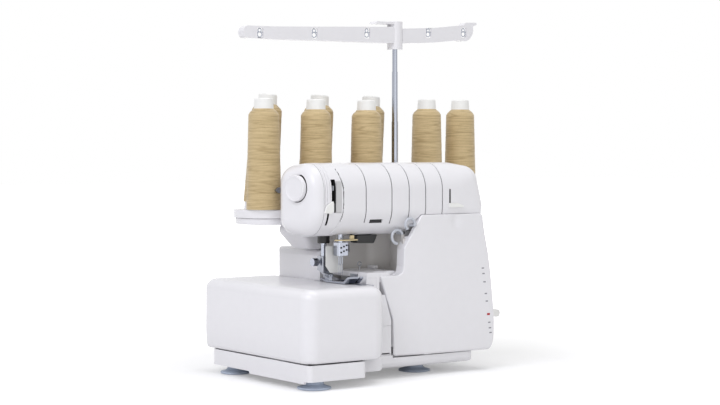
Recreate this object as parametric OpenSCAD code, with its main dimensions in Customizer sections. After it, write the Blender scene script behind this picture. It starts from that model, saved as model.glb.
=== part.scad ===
// Serger overlock machine: head, free standing bed with its lift-off cloth box, and a stand for eight cones.
// X runs to the right, Y to the back and Z up, in millimetres. The origin is under the middle of the machine.

/* [Bed] */
// Height of the sewing surface above the table
bed_z = 134; // [125:1:145]
// Left side of the cloth box
box_l = -4; // [-12:1:4]
// Right side of the cloth box
box_r = 127; // [122:1:132]
// Front of the cloth box
box_f = -2; // [-10:1:4]
// Back of the cloth box
box_b = 272; // [262:1:280]
// Underside of the cloth box
box_z = 36; // [34:1:40]
// Radius of the cloth box's top edge
box_r_edge = 15; // [8:1:18]
// Wall of the moulded covers
wall = 3; // [2:0.5:4]

/* [Head] */
// Height of the top of the head
head_top = 300; // [290:1:310]
// Height of the underside of the head
head_low = 200; // [196:1:204]
// Front of the head
head_f = 40; // [36:1:44]
// Back of the head
head_b = 135; // [128:1:140]
// Right end of the head
head_r = 334; // [326:1:340]
// Radius of the front of the head, over its top and bottom
head_round = 38; // [30:1:42]
// Width of a thread groove
groove_w = 1.6; // [1:0.1:3]
// Depth of a thread groove
groove_d = 2.5; // [1:0.1:2.8]

/* [Sewing point] */
// Needle bar axis, left to right
needle_x = 108; // [104:0.5:112]
// Needle bar axis, front to back
needle_y = 82; // [80:0.5:84]
// Presser bar axis, left to right
presser_x = 100; // [97:0.5:103]
// Presser bar axis, front to back
presser_y = 112; // [110:0.5:116]
// Diameter of the needle bar and the presser bar
bar_d = 7; // [6:0.5:8]
// Lowest point of the needles at rest, above the bed
needle_lift = 10; // [8:0.5:14]

/* [Drive] */
// Main shaft axis, front to back
shaft_y = 165; // [160:1:170]
// Main shaft axis, height
shaft_z = 106; // [100:1:110]
// Diameter of the main shaft
shaft_d = 10; // [8:0.5:12]
// Diameter of the handwheel
wheel_d = 66; // [56:1:76]
// Motor axis, front to back
motor_y = 206; // [204:1:210]
// Motor axis, height
motor_z = 72; // [70:1:76]
// Diameter of the motor
motor_d = 52; // [44:1:56]

/* [Thread stand] */
// Left end of the spool tray
tray_l = 12; // [6:1:20]
// Right end of the spool tray
tray_r = 432; // [428:1:440]
// Front of the spool tray
tray_f = 141; // [140:1:144]
// Back of the spool tray
tray_b = 236; // [232:1:244]
// Top face of the spool tray
tray_z = 234; // [230:1:238]
// Height of one cone of thread with its core
cone_h = 156; // [140:1:160]
// Diameter of the thread at its foot
cone_d = 49.5; // [44:0.5:51]
// Diameter of the thread at its shoulder
cone_top_d = 43; // [38:0.5:45]
// Diameter of the core's white cap
cap_d = 28; // [24:0.5:32]
// Lean of the three back cones
lean = 4.7; // [0:0.1:6]
// Telescopic pole, left to right
pole_x = 279; // [276:1:282]
// Telescopic pole, front to back
pole_y = 185; // [180:1:190]
// Diameter of the lowest pole tube
pole_d = 9.6; // [9:0.2:11]
// Wall of a pole tube with its play, on the radius
pole_step = 0.5; // [0.45:0.05:0.7]
// Underside of the guide bar's hub
hub_z = 467; // [460:1:475]

/* [Hidden] */

white = [0.93, 0.92, 0.94];
shade_white = [0.86, 0.86, 0.88];
grey = [0.68, 0.67, 0.66];
black = [0.07, 0.07, 0.08];
steel = [0.72, 0.73, 0.75];
cast = [0.60, 0.61, 0.62];
tan_thread = [0.76, 0.67, 0.47];
brass = [0.80, 0.68, 0.45];
foot_blue = [0.72, 0.77, 0.83];

gap = 0.4;              // between neighbouring covers
fit = 0.1;              // on the diameter, between a shaft and its bore
smooth = 32;            // facets round a moulded corner
mid_x = (box_l + tray_r) / 2;
mid_y = (box_f + box_b) / 2;

pan_z = 12.6;           // underside of the base pan's left part
deep_z = 14.4;          // underside of its right part
pan_top = box_z - 1.6;  // leaves the dark line under the cloth box
cover_f = 38;           // front of the looper cover
cover_b = 58;           // back edge of the looper cover
cover_seam = 227;       // top of the looper cover
rear_l = 113;           // left side of the rear cover
rear_f = 140;           // front of the rear cover
rear_b = 254;           // back of the rear cover
rear_r = 316;           // where the rear cover meets the side cover
bracket_z = tray_z - 20.5; // underside of the tray bracket
rear_top = bracket_z - gap; // top of the rear cover
face_x = 51.5;          // seam between the face cover and the arm cover
plate_l = 102.4;        // left edge of the needle plate
plate_r = 123.6;        // right edge of the needle plate
plate_f = 24;           // front edge of the needle plate
plate_b = 139;          // back edge of the needle plate
hinge_y = 42.2;         // hinge line of the looper cover
hinge_z = 33.8;
clamp_z = bed_z + 38;   // underside of the needle clamp
holder_z = bed_z + 7;   // underside of the foot holder's fork
foot_axis_y = presser_y - 12;
foot_axis_z = bed_z + 10;
knob_at = [30.6, 74, 266];  // middle of the pressure knob on the face cover
knob_turn = 11;         // the face cover's end looks a little to the front
front_cones = [36, 124, 213];
back_cones = [61, 151, 244];
side_cones = [340, 405];
front_row = 166;
back_row = 214;
side_row = 186;
back_rise = 8;          // the back row stands on a raised pad
side_rise = 4;
eyelets = [[37, 482], [129, 485], [222, 489], [336, 494], [404, 497]];
grooves = [[121, 219], [165, 216], [195, 216], [224, cover_seam], [254, cover_seam]];

// ---- helpers ----------------------------------------------------------------------------------------

module place() translate([-mid_x, -mid_y, 0]) children();
module block(lo, hi) translate(lo) cube(hi - lo);
module post(x, y, z0, z1, d) translate([x, y, z0]) cylinder(d = d, h = z1 - z0, $fn = 48);
module rod_x(y, z, x0, x1, d) translate([x0, y, z]) rotate([0, 90, 0]) cylinder(d = d, h = x1 - x0, $fn = 48);
module rod_y(x, z, y0, y1, d)
    translate([x, y0, z]) rotate([-90, 0, 0]) cylinder(d = d, h = y1 - y0, $fn = 48);

// A profile drawn in Y and Z, carried along X
module along_x(x0, x1) translate([x0, 0, 0]) rotate([90, 0, 90]) linear_extrude(x1 - x0) children();
// A profile drawn in X and Z, carried along Y
module along_y(y0, y1) translate([0, y1, 0]) rotate([90, 0, 0]) linear_extrude(y1 - y0) children();
// A profile drawn in X and Y, carried up
module along_z(z0, z1) translate([0, 0, z0]) linear_extrude(z1 - z0) children();

// Rounded rectangle in the plane
module round_rect(lo, hi, r)
    translate(lo + [r, r]) offset(r = r, $fn = smooth) square(hi - lo - [2 * r, 2 * r]);

// Softens every corner of an outline
module soften(r)
    offset(r = r, $fn = smooth) offset(r = -2 * r, $fn = smooth) offset(r = r, $fn = smooth) children();

// Box with rounded edges all round
module pebble(lo, hi, r)
    intersection() {
        along_x(lo.x, hi.x) round_rect([lo.y, lo.z], [hi.y, hi.z], r);
        along_y(lo.y, hi.y) round_rect([lo.x, lo.z], [hi.x, hi.z], r);
        along_z(lo.z, hi.z) round_rect([lo.x, lo.y], [hi.x, hi.y], r);
    }

function arc(c, r, a0, a1, n) = [for (i = [0:n]) let (a = a0 + (a1 - a0) * i / n) c + r * [cos(a), sin(a)]];

// ---- base -------------------------------------------------------------------------------------------

base_r = 317;
base_f = 42.5;
base_b = rear_b - 6;
base_left_r = 94;       // right side of the pan's left part
ledge_z = 29.2;         // the looper cover's lower edge swings over this ledge
ledge_b = 52;
lip_r = 168.6;          // the front stands higher left of the looper cover

// Left part of the base pan, drawn a distance inside its skin
module shallow_part(inset, top)
    along_z(pan_z + inset, top)
        round_rect([inset, inset], [base_left_r - inset, base_b - 1 - inset], 7 - inset);

// Right part of the base pan, drawn a distance inside its skin: its lower edges curve under
module deep_part(inset, top)
    intersection() {
        along_z(deep_z + inset, top)
            round_rect([60 + inset, base_f + inset], [base_r - inset, base_b - inset], 14 - inset);
        along_x(0, base_r) round_rect([base_f + inset, deep_z + inset], [base_b - inset, 80], 9 - inset);
        along_y(0, base_b) round_rect([0, deep_z + inset], [base_r - inset, 80], 13 - inset);
    }

// Step between the two, in front
module middle_part()
    intersection() {
        along_z(16, pan_top) round_rect([80, 24], [138, 70], 4);
        along_y(20, 80) round_rect([60, 16], [138, 60], 7);
    }

module base_pan() place() color(white) {
    difference() {
        union() {
            shallow_part(0, pan_top);
            deep_part(0, pan_top);
            middle_part();
        }
        shallow_part(wall, pan_top + 1);
        intersection() {
            deep_part(wall, pan_top + 1);
            block([0, ledge_b + wall, 0], [400, 400, 60]);
        }
        block([lip_r, base_f - 1, ledge_z], [base_r + 1, ledge_b, pan_top + 1]);
        block([138 + gap, base_f - 1, pan_top - 1.6], [lip_r + 1, base_f + 4, pan_top + 1]);
    }
    block([0, 12, pan_z - 3.3], [3, 148, pan_z + 1]);
    for (p = foot_spots) post(p.x, p.y, pan_z, frame_z - (p.x < 60 ? 4 : 0), 24);
    for (x = hinge_ears) hinge_ear(x);
}

hinge_ears = [240, 300];
ear_w = 4;
hinge_d = 2.6;

// Carries the looper cover's hinge rod; its neck is thin, so that the cover's lower edge swings past below it
module hinge_ear(x)
    difference() {
        union() {
            rod_x(hinge_y, hinge_z, x, x + ear_w, 5.4);
            block([x, hinge_y, hinge_z - 1.6], [x + ear_w, ledge_b + 2, hinge_z + 1.7]);
            block([x, ledge_b - 0.5, ledge_z - 2], [x + ear_w, ledge_b + 2, hinge_z + 1.7]);
        }
        rod_x(hinge_y, hinge_z, x - 1, x + ear_w + 1, hinge_d + fit);
    }

foot_spots = [[25, 25], [25, 222], [245, 93], [292, 216]];

module feet() place() color(foot_blue)
    for (p = foot_spots) translate([p.x, p.y, 0])
        rotate_extrude($fn = 64)
            polygon([[0, 0], [19, 0], [22.6, 0.8], [23, 2], [22.4, 3.2], [16, 5], [13, 7], [12.5, pan_z],
                     [0, pan_z]]);

// ---- frame ------------------------------------------------------------------------------------------

frame_z = pan_top + gap;      // the casting stands on the pan's bosses and rim
column_l = 222;
column_r = 306;
arm_f = 66;
arm_b = 126;
arm_z = 214;
arm_top = 284;
arm_l = 74;
arm_r = head_r - 45;

module machine_frame() place() color(cast) {
    difference() {
        union() {
            block([62, 66, frame_z], [312, 138, frame_z + 5]);
            block([118, 136, frame_z], [312, 232, frame_z + 5]);
            block([column_l, 100, frame_z + 4], [column_r, 125, arm_z + 5]);
            block([column_l, 124, frame_z + 4], [column_r, 150, head_low - 4]);
            block([arm_l, arm_f, arm_z], [arm_r, arm_b, arm_top]);
            block([plate_l + 1, 128, frame_z + 4], [column_l + 1, 134, 129]);
            block([124, 133, frame_z + 4], [130, 228, 130]);
            block([column_r - 8, 149, frame_z + 4], [column_r, 232, 150]);
            block([plate_l + 1, 30, 122], [plate_r - 0.5, 130, 129.6]);
        }
        block([column_l + 6, 106, frame_z + 10], [column_r - 6, 144, head_low - 10]);
        block([arm_l + 7, arm_f - 1, arm_z + 7], [arm_r - 8, arm_b - 7, arm_top - 7]);
        block([104, 50, 121], [121, 112, 130]);
        post(needle_x, needle_y, arm_z - 1, arm_top + 1, bar_d + fit);
        post(presser_x, presser_y, arm_z - 1, arm_top + 1, bar_d + fit);
        rod_x(shaft_y, shaft_z, 120, column_r + 4, shaft_d + fit);
        rod_x(motor_y, motor_z, column_r - 9, column_r + 1, 8);
        rod_x(takeup_at.x, takeup_at.y, arm_l - 1, arm_l + 8, takeup_d + fit);
        rod_y(lifter_at.x, lifter_at.y, arm_b - 8, arm_b + 1, lifter_d + fit);
    }
}

// ---- lower covers -----------------------------------------------------------------------------------

rear_shape = [[rear_l, pan_top + gap], [rear_r - gap, pan_top + gap], [rear_r - gap, rear_top],
              [166, rear_top], [157, 205], [153, 184], [147, 176.6], [rear_l + 9, 176.6], [rear_l + 3, 174.2],
              [rear_l, 168]];

module rear_outline() soften(4) polygon(rear_shape);

module rear_cover() place() color(white)
    difference() {
        intersection() {
            along_y(rear_f, rear_b) rear_outline();
            along_z(0, 300) round_rect([rear_l, rear_f - 20], [rear_r + 20, rear_b], 12);
        }
        intersection() {
            along_y(rear_f + wall, rear_b - wall) offset(delta = -wall) rear_outline();
            along_z(0, 300) round_rect([rear_l + wall, rear_f - 20], [rear_r + 20, rear_b - wall], 9);
        }
        block([column_l - 2, rear_f - 1, 45], [rear_r + 1, rear_f + wall + 1, rear_top - 8]);
        block([rear_r - 12, rear_f + wall, 45], [rear_r + 1, rear_b - 20, rear_top - 8]);
        block([rear_l + wall, rear_f + wall, 30], [rear_r + 1, rear_b - 10, 46]);
        block([rear_l + wall, rear_f - 1, 30], [rear_r + 1, rear_f + wall + 1, 46]);
        block([122, rear_f - 1, 45], [132, rear_f + wall + 1, 132]);
        for (x = [190:9:270]) block([x, rear_b - wall - 1, 60], [x + 4, rear_b + 1, 96]);
    }

// Outer edge of the right side, seen from the front, lower end first
right_edge = [[346.5, 34], [349.5, 42], [350.8, 52], [351.2, 70], [350.2, 88], [347.2, 115], [344.2, 142],
              [339.7, 169], [334.2, 193], [330.8, 210], [327.3, cover_seam]];
function edge_x(z) = lookup(z, [for (p = right_edge) [p.y, p.x]]);
function edge_between(z0, z1) = [for (p = right_edge) if (p.y > z0 && p.y < z1) p];
cut_z = head_low - gap;

module side_outline(top)
    polygon(concat([[rear_r, pan_top + gap], [edge_x(pan_top) - 1, pan_top + gap]], edge_between(40, top - 1),
                   [[edge_x(top), top], [rear_r, top]]));

side_out = 358;         // clear of the side cover on the right

module side_cover() place() color(white)
    difference() {
        union() {
            along_y(60, rear_f + 1) side_outline(cut_z);
            along_y(rear_f, rear_b - 4) side_outline(rear_top - 1);
        }
        along_y(60 + wall, rear_b - 4 - wall) offset(delta = -wall) side_outline(cut_z);
        block([rear_r - 1, 60 + wall, 45], [rear_r + wall + 1, rear_b - 26, cut_z - 8]);
        rod_x(shaft_y, shaft_z, 330, side_out, shaft_d + 3);
        rod_x(dial_at.x, dial_at.y, 320, side_out, dial_stem + fit);
        block([330, lever_y - 3, 52], [side_out, lever_y + 3, 120]);
        block([330, 208.6, 62], [side_out, 223.4, 86]);
        block([330, 203, 38], [side_out, 229, 56]);
    }

dial_at = [112, 158];
dial_stem = 8;
lever_y = 68;

module neck_cover() place() color(white)
    hull() {
        for (x = [104, 135], y = [152, 186]) translate([x, y, 186]) sphere(9, $fn = smooth);
        for (x = [92, 141], y = [150, 196]) translate([x, y, bracket_z - gap - 9]) sphere(9, $fn = smooth);
    }

// ---- head -------------------------------------------------------------------------------------------

back_round = 27;

// Side view of the head, drawn a distance inside its skin
function head_profile(inset) =
    let (r = head_round - inset, q = back_round - inset)
    concat(
        arc([head_f + head_round, head_top - head_round], r, 180, 90, 8),
        arc([head_b - back_round, head_top - back_round], q, 90, 0, 7),
        arc([head_b - back_round, head_low + back_round], q, 0, -90, 7),
        arc([head_f + head_round, head_low + head_round], r, 270, 180, 8));

module head_slice(x) along_x(x, x + 0.02) polygon(head_profile(0));

// A ball that touches the head's front curve from inside, at an angle of the upper or the lower arc
module front_ball(x, r, z, angle)
    translate([x, head_f + head_round + (head_round - r) * cos(angle), z + (head_round - r) * sin(angle)])
        sphere(r, $fn = smooth);

module head_solid()
    hull() {
        for (a = [90, 135, 180]) front_ball(50.4, 16.4, head_top - head_round, a);
        for (a = [180, 225, 270]) front_ball(50.4, 16.4, head_low + head_round, a);
        for (z = [head_low + 26, head_top - 28]) translate([52, 100, z]) sphere(26, $fn = smooth);
        head_slice(75);
        head_slice(head_r - 43);
        front_ball(head_r - 24.5, 24, head_top - head_round, 135);
        for (a = [180, 225]) front_ball(head_r - 14, 14, head_low + head_round, a);
        translate([head_r - 26, head_b - 27, head_top - 27]) sphere(26, $fn = smooth);
        translate([head_r - 24, head_b - 25, head_low + 25]) sphere(24, $fn = smooth);
    }

head_in_r = head_r - 44;

// The room inside the head: close to the skin between the ends, narrower in the ends
module head_room() {
    along_x(48, 75) polygon(head_profile(end_wall));
    difference() {
        union() {
            along_x(74, head_in_r) polygon(head_profile(wall));
            along_x(head_in_r - 1, head_r - 20) polygon(head_profile(end_wall));
        }
        along_y(0, cover_back + wall) cover_corner(wall);
    }
}

end_wall = 12;

// The head's lower right corner, over which the looper cover's upper part lies
module cover_corner(more)
    polygon([[217 - more, cover_seam + gap + more], [head_r + 20, cover_seam + gap + more],
             [head_r + 20, 180], [182 - more, 180], [189.5 - more, 199]]);

module arm_cover() place() color(white)
    difference() {
        head_solid();
        block([0, 0, head_low - 10], [face_x + gap, 200, head_top + 10]);
        head_room();
        // the sewing bars come down through the floor on the left
        block([86, 66, head_low - 5], [122, 126, head_low + 9]);
        // the column comes up through the floor on the right
        block([column_l - 4, 98, head_low - 5], [column_r + 2, 127, arm_z + 8]);
        along_y(0, cover_back + 0.5) cover_corner(0);
        for (g = grooves) along_x(g.x, g.x + groove_w) groove_shape(g.y);
        for (x = [53.6, 57, 61.4]) along_x(x, x + 0.9) groove_shape(x < 58 ? 238 : 248);
        // take-up slot with its plate to the right
        block([64, head_f - 5, 246], [71, head_f + 17, 278]);
        block([68, head_f - 5, 233], [71, head_f + 12, 247]);
        block([71.4, head_f - 5, 232.6], [80.4, head_f + 2.2, 276]);
        // slot of the stitch mode lever
        block([266.7, head_f - 5, 239.6], [269.3, head_f + 12, 262.6]);
        // slot of the needle threader
        block([57, head_f - 5, 216], [60, head_f + 18, 244]);
        rod_y(lifter_at.x, lifter_at.y, head_b - 10, head_b + 1, lifter_d + 2 * gap);
        // indicator window
        block([130, head_f - 5, 217.4], [152, head_f + 6.5, 222.4]);
    }

module groove_shape(low)
    intersection() {
        difference() {
            polygon(head_profile(-2));
            polygon(head_profile(groove_d));
        }
        translate([head_f - 10, low]) square([head_round + 36, head_top]);
    }

module face_cover() place() color(white)
    difference() {
        head_solid();
        block([face_x, 0, head_low - 10], [head_r + 60, 200, head_top + 10]);
        head_room();
        knob_frame() translate([0, 0, -25]) cylinder(d = knob_stem + fit, h = 40, $fn = 48);
    }

// ---- sewing area covers -----------------------------------------------------------------------------

module throat_panel() place() color(grey)
    difference() {
        along_z(bed_z + 0.8, cut_z - 0.2)
            polygon(concat([[124, rear_f - 0.6], [220, rear_f - 0.6], [220, 104], [212, 88], [204.5, 74],
                            [200.6, 62], [196, 48.2], [191, 48.2], [192.6, 55], [196, 66], [199.5, 78]],
                           arc([183, 108], 28, -8, 82, 10), [[124, rear_f - 4]]));
        // room for the thread hook
        block([180, 47, head_low - 6], [201, 53.4, head_low]);
    }

module looper_panel() place() color(shade_white) {
    difference() {
        along_y(62, 65)
            soften(2) polygon([[201, 40.4], [315.4, 40.4], [315.4, 196], [213, 196], [205, 150], [201, 128]]);
        for (x = [226, 240, 254]) rod_y(x, 172, 61, 66, 6);
        block([268, 61, 92], [292, 66, 132]);
    }
    for (x = [226, 240, 254]) rod_tube(x, 172);
    block([214, 60.5, 60], [300, 62.2, 63]);
}

module rod_tube(x, z)
    difference() {
        rod_y(x, z, 58.5, 64.8, 6);
        rod_y(x, z, 57, 67, 3);
    }

// Closes the bed's front between the cloth box and the looper cover, whose slanted edge it follows
module front_panel() place() color(white)
    difference() {
        along_y(45.6, 48.6)
            soften(1) polygon([[129, pan_top + gap], [168.3, pan_top + gap], [168.3, 82],
                               [157.4, bed_z - 16.4], [129, bed_z - 16.4]]);
        block([154, 45, 74], [170, 46.6, 74.8]);
        block([152, 45, pan_top - 1], [166, 50, pan_top + 2]);
    }

module needle_plate() place() color(steel)
    difference() {
        along_z(bed_z - 4, bed_z) round_rect([plate_l, plate_f], [plate_r, plate_b], 2);
        block([104.3, 79.4, bed_z - 5], [111.8, 84.6, bed_z + 1]);
        for (x = dog_rows, y = [[58, 76], [88, 108]])
            block([x - 1.6, y[0], bed_z - 5], [x + 1.6, y[1], bed_z + 1]);
        for (y = [32, 130]) post(113, y, bed_z - 5, bed_z + 1, 4.2);
    }

dog_rows = [106.5, 113, 119];

deck_top = bed_z + 15;

module knife_deck() place() color(white)
    difference() {
        union() {
            along_y(60, 131)
                soften(2) polygon([[124, bed_z - 16], [198, bed_z - 16], [197, bed_z + 0.4],
                                   [187, deck_top - 3], [184, deck_top], [129, deck_top],
                                   [126, deck_top - 3]]);
            along_y(45, 62)
                soften(2) polygon([[124, bed_z - 16], [147, bed_z - 16], [147, deck_top - 2],
                                   [145, deck_top], [129, deck_top], [126, deck_top - 3]]);
        }
        // only the part left of the throat panel's wall stays above the bed
        block([186.5, 55, bed_z + 0.4], [210, 145, deck_top + 5]);
        block([128, 34, bed_z - 20], [143, 140, bed_z + 8]);
        block([142, 64, bed_z - 20], [200, 140, bed_z - 5]);
        block([123, 126, bed_z - 20], [200, 140, bed_z - 3.6]);
        block([123, 66, bed_z - 20], [129, 140, deck_top + 1]);
    }

// ---- cloth box --------------------------------------------------------------------------------------

box_corner = 20;        // radius of the box's upright corners
box_foot = 1.4;         // its sides draw in towards their lower edge

// Cross-section of the cloth box between two sides, drawn a distance inside its skin
module box_section(lo, hi, inset, low)
    polygon(concat(arc([lo + box_r_edge, bed_z - box_r_edge], box_r_edge - inset, 180, 90, 12),
                   arc([hi - box_r_edge, bed_z - box_r_edge], box_r_edge - inset, 90, 0, 12),
                   [[hi - inset, box_z + 25], [hi - box_foot * 0.75 - inset, low + 6],
                    [hi - box_foot - 1 - inset, low + 1.6], [hi - box_foot - 3 - inset, low],
                    [lo + box_foot + 3 + inset, low],
                    [lo + box_foot + 1 + inset, low + 1.6], [lo + box_foot * 0.75 + inset, low + 6],
                    [lo + inset, box_z + 25]]));

// The cloth box as one solid, drawn a distance inside its skin
module box_solid(inset, low)
    intersection() {
        along_x(box_l, box_r) box_section(box_f, box_b, inset, low);
        along_y(box_f, box_b) box_section(box_l, box_r, inset, low);
        along_z(low - 1, bed_z + 1)
            round_rect([box_l + inset, box_f + inset], [box_r - inset, box_b - inset], box_corner - inset);
    }

module cloth_box() place() color(white)
    difference() {
        box_solid(0, box_z);
        box_solid(wall, box_z - 10);
        block([plate_l - gap, plate_f - gap, bed_z - 20], [box_r + 1, rear_f + 1, bed_z + 1]);
        block([box_r - wall - 1, plate_f - gap, box_z - 1], [box_r + 1, box_b + 1, bed_z + 1]);
        block([rear_l - 1, rear_f - 1, box_z - 1], [box_r + 1, box_b + 1, bed_z + 1]);
    }

// ---- looper cover -----------------------------------------------------------------------------------

cover_r = 351.4;        // right side of the looper cover
cover_back = head_f + 6.4;

module cover_outline()
    soften(2.5)
        polygon(concat([[171, 31], [341, 29.6]], right_edge,
                       [[217, cover_seam], [188, 181], [187.5, 156], [185, 147], [178, 143.5], [150, 143],
                        [152, 135], [170, 82]]));

// Plan of the cover: its left third turns away a little, its right edge is round
module cover_plan(inset)
    polygon(concat([[100, 47.5 + inset], [150, 44.5 + inset], [225, cover_f + inset]],
                   arc([cover_r - 6, cover_f + 6], 6 - inset, -90, 0, 6),
                   [[cover_r - inset, cover_b + 2], [100, cover_b + 2]]));

module looper_cover() place() color(white) {
    difference() {
        intersection() {
            along_y(cover_f - 1, cover_b) cover_outline();
            along_z(0, 300) cover_plan(0);
        }
        intersection() {
            along_y(cover_f - 1, cover_b + 1) offset(delta = -wall) cover_outline();
            along_z(0, 300) cover_plan(wall);
        }
        // the base pan and the head's lower corner fit behind the cover's bottom and top
        along_z(22, 44) cover_plan(wall);
        block([150, 48.6, 22], [360, cover_b + 1, 44]);
        block([180, cover_back, head_low - 3], [345, cover_b + 1, 240]);
        // beside the throat the cover is a plain sheet
        block([140, 47.6, 134.6], [207, cover_b + 1, 240]);
        // its lower edge is round about the hinge line, and lets the rod and its ears in
        difference() {
            block([150, cover_f - 2, 22], [360, hinge_y, hinge_z]);
            rod_x(hinge_y, hinge_z, 149, 361, 8.4);
        }
        rod_x(hinge_y, hinge_z, hinge_l - 1, cover_r - 30, 3.4);
        for (x = hinge_ears) rod_x(hinge_y, hinge_z, x - 5.5, x + ear_w + 0.5, 6);
    }
    for (x = hinge_lugs) hinge_lug(x);
}

hinge_lugs = [222, 282];
hinge_l = hinge_lugs[0] - 4;

module hinge_lug(x)
    difference() {
        rod_x(hinge_y, hinge_z, x, x + 12, 7.6);
        rod_x(hinge_y, hinge_z, x - 1, x + 13, hinge_d + fit);
    }

module cover_hinge() place() color(steel)
    rod_x(hinge_y, hinge_z, hinge_l, hinge_ears[1] + ear_w, hinge_d);

// ---- thread stand -----------------------------------------------------------------------------------

module tray_shape(inset)
    round_rect([tray_l + inset, tray_f + inset], [tray_r - inset, tray_b - inset], 40 - inset);

rim_h = 11.4;

module spool_tray() place() color(white) {
    difference() {
        along_z(tray_z - rim_h, tray_z) tray_shape(0);
        along_z(tray_z - rim_h - 1, tray_z - wall) tray_shape(wall);
        post(pole_x, pole_y, tray_z - rim_h, tray_z + 1, pole_d);
    }
    for (x = back_cones) back_place(x)
        translate([0, 0, -back_rise - 3]) cylinder(d = 46, h = back_rise + 3, $fn = 64);
    for (x = side_cones) post(x, side_row, tray_z - 1, tray_z + side_rise, 46);
    difference() {
        post(pole_x, pole_y, tray_z - rim_h, tray_z + 14, 20);
        post(pole_x, pole_y, tray_z - rim_h - 1, tray_z + 15, pole_d);
    }
}

module tray_bracket() place() color(white)
    difference() {
        along_z(bracket_z, tray_z - rim_h - gap) tray_shape(2.5);
        along_z(bracket_z - 1, tray_z - rim_h - gap - wall) tray_shape(2.5 + wall);
        post(pole_x, pole_y, bracket_z - 1, tray_z, pole_d);
    }

// Where a back cone stands: its foot, leaning to the right
module back_place(x) translate([x, back_row, tray_z + back_rise]) rotate([0, lean, 0]) children();

module on_every_pin() {
    for (x = front_cones) translate([x, front_row, tray_z]) children();
    for (x = back_cones) back_place(x) children();
    for (x = side_cones) translate([x, side_row, tray_z + side_rise]) children();
}

module spool_pins() place() color(shade_white)
    on_every_pin()
        rotate_extrude($fn = 48) polygon([[0, 0], [11, 0], [11, 2], [4, 8], [4, 66], [3, 69], [0, 70]]);

module cone_cores() place() color(white)
    on_every_pin()
        rotate_extrude($fn = 48)
            polygon([[12, 0.3], [cone_d / 2 - 2, 0.3], [cone_d / 2 - 2, 1.8], [20, 3], [12, cone_h - 20],
                     [cap_d / 2 - 0.6, cone_h - 16], [cap_d / 2, cone_h - 15],
                     [cap_d / 2 - 0.7, cone_h - 1.5],
                     [cap_d / 2 - 2, cone_h], [cap_d / 2 - 4, cone_h - 1], [9, cone_h - 4], [8, cone_h - 14],
                     [8, 30], [11.4, 12]]);

module thread_cones() place() color(tan_thread)
    on_every_pin()
        rotate_extrude($fn = 64)
            polygon([[20.2, 3.2], [cone_d / 2 - 1.9, 2], [cone_d / 2 - 1.8, 0.7], [cone_d / 2 - 0.8, 0.7],
                     [cone_d / 2, 2.6],
                     [cone_d / 2 - 0.6, 24], [cone_top_d / 2 + 0.6, 110],
                     [cone_top_d / 2, cone_h - 23], [cone_top_d / 2 - 2, cone_h - 19.5],
                     [cap_d / 2 + 0.5, cone_h - 14.5],
                     [cap_d / 2 - 0.2, cone_h - 16.4], [12.2, cone_h - 20.4]]);

lower_top = 360;
middle_top = 434;

module pole_tube(z0, z1, d, core)
    difference() {
        post(pole_x, pole_y, z0, z1, d);
        post(pole_x, pole_y, z0 - 1, z1 + 1, core);
    }

module pole_lower() place() color(steel)
    pole_tube(bracket_z, lower_top, pole_d, pole_d - 2 * pole_step + fit);
module pole_middle() place() color(steel)
    pole_tube(lower_top - 90, middle_top, pole_d - 2 * pole_step, pole_d - 4 * pole_step + fit);
module pole_upper() place() color(steel)
    post(pole_x, pole_y, middle_top - 80, hub_z + 12, pole_d - 4 * pole_step);

module guide_bar() place() color(white)
    difference() {
        union() {
            post(pole_x, pole_y, hub_z, hub_z + 41, hub_d);
            for (side = [0, 1]) {
                along_y(pole_y - 9, pole_y - 6.4) arm_shape(side);
                along_y(pole_y - 9, pole_y + 5)
                    difference() {
                        arm_shape(side);
                        offset(delta = -2) arm_shape(side);
                    }
            }
            along_y(pole_y - 9, pole_y + 8)
                polygon([[237, 503.5], [pole_x - 6, 503.5], [pole_x - 6, 507], [240, 507]]);
        }
        post(pole_x, pole_y, hub_z - 1, hub_z + 12, pole_d - 4 * pole_step);
        for (e = eyelets) along_y(pole_y - 20, pole_y - 2) translate(e) round_rect([-5, -8], [5, 7], 2);
    }

hub_d = 23;

// Front view of one arm of the guide bar: the left one droops a little, the right one rises to a hook
module arm_shape(side)
    soften(1)
        polygon(side == 0
            ? concat([[pole_x - 8, 500], [150, 495], [60, 491.5], [16, 491]], arc([18, 482], 9, 120, 240, 5),
                     [[60, 473.6], [150, 474.6], [pole_x - 8, 475.5]])
            : concat([[pole_x + 8, 476.5], [345, 479.5], [396, 485]], arc([404, 502], 18.5, -100, 15, 8),
                     [[430, 510], [428, 513], [408, 512], [404, 508], [345, 501.5], [pole_x + 8, 498]]));

module guide_eyelets() place() color(steel)
    for (e = eyelets) translate([e.x, pole_y - 7, e.y]) rotate([90, 0, 0]) {
        translate([0, -2.6, 0]) ring(3.6, 0.7);
        translate([0, 3.4, 0]) ring(2.6, 0.7);
        translate([-5, 0.2, -0.7]) cube([10, 1.2, 1.4]);
    }

module ring(r, t) rotate_extrude($fn = 32) translate([r, 0]) circle(t, $fn = 16);

// ---- presser ----------------------------------------------------------------------------------------

module presser_bar() place() color(steel) post(presser_x, presser_y, holder_z + 8, arm_top + 2, bar_d);

module presser_bush() place() color(black)
    difference() {
        union() {
            post(presser_x, presser_y, head_low - 12, head_low - 0.5, 17);
            post(presser_x, presser_y, head_low - 4, arm_z - 0.4, 13);
        }
        post(presser_x, presser_y, head_low - 20, arm_z, bar_d + fit);
    }

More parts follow.
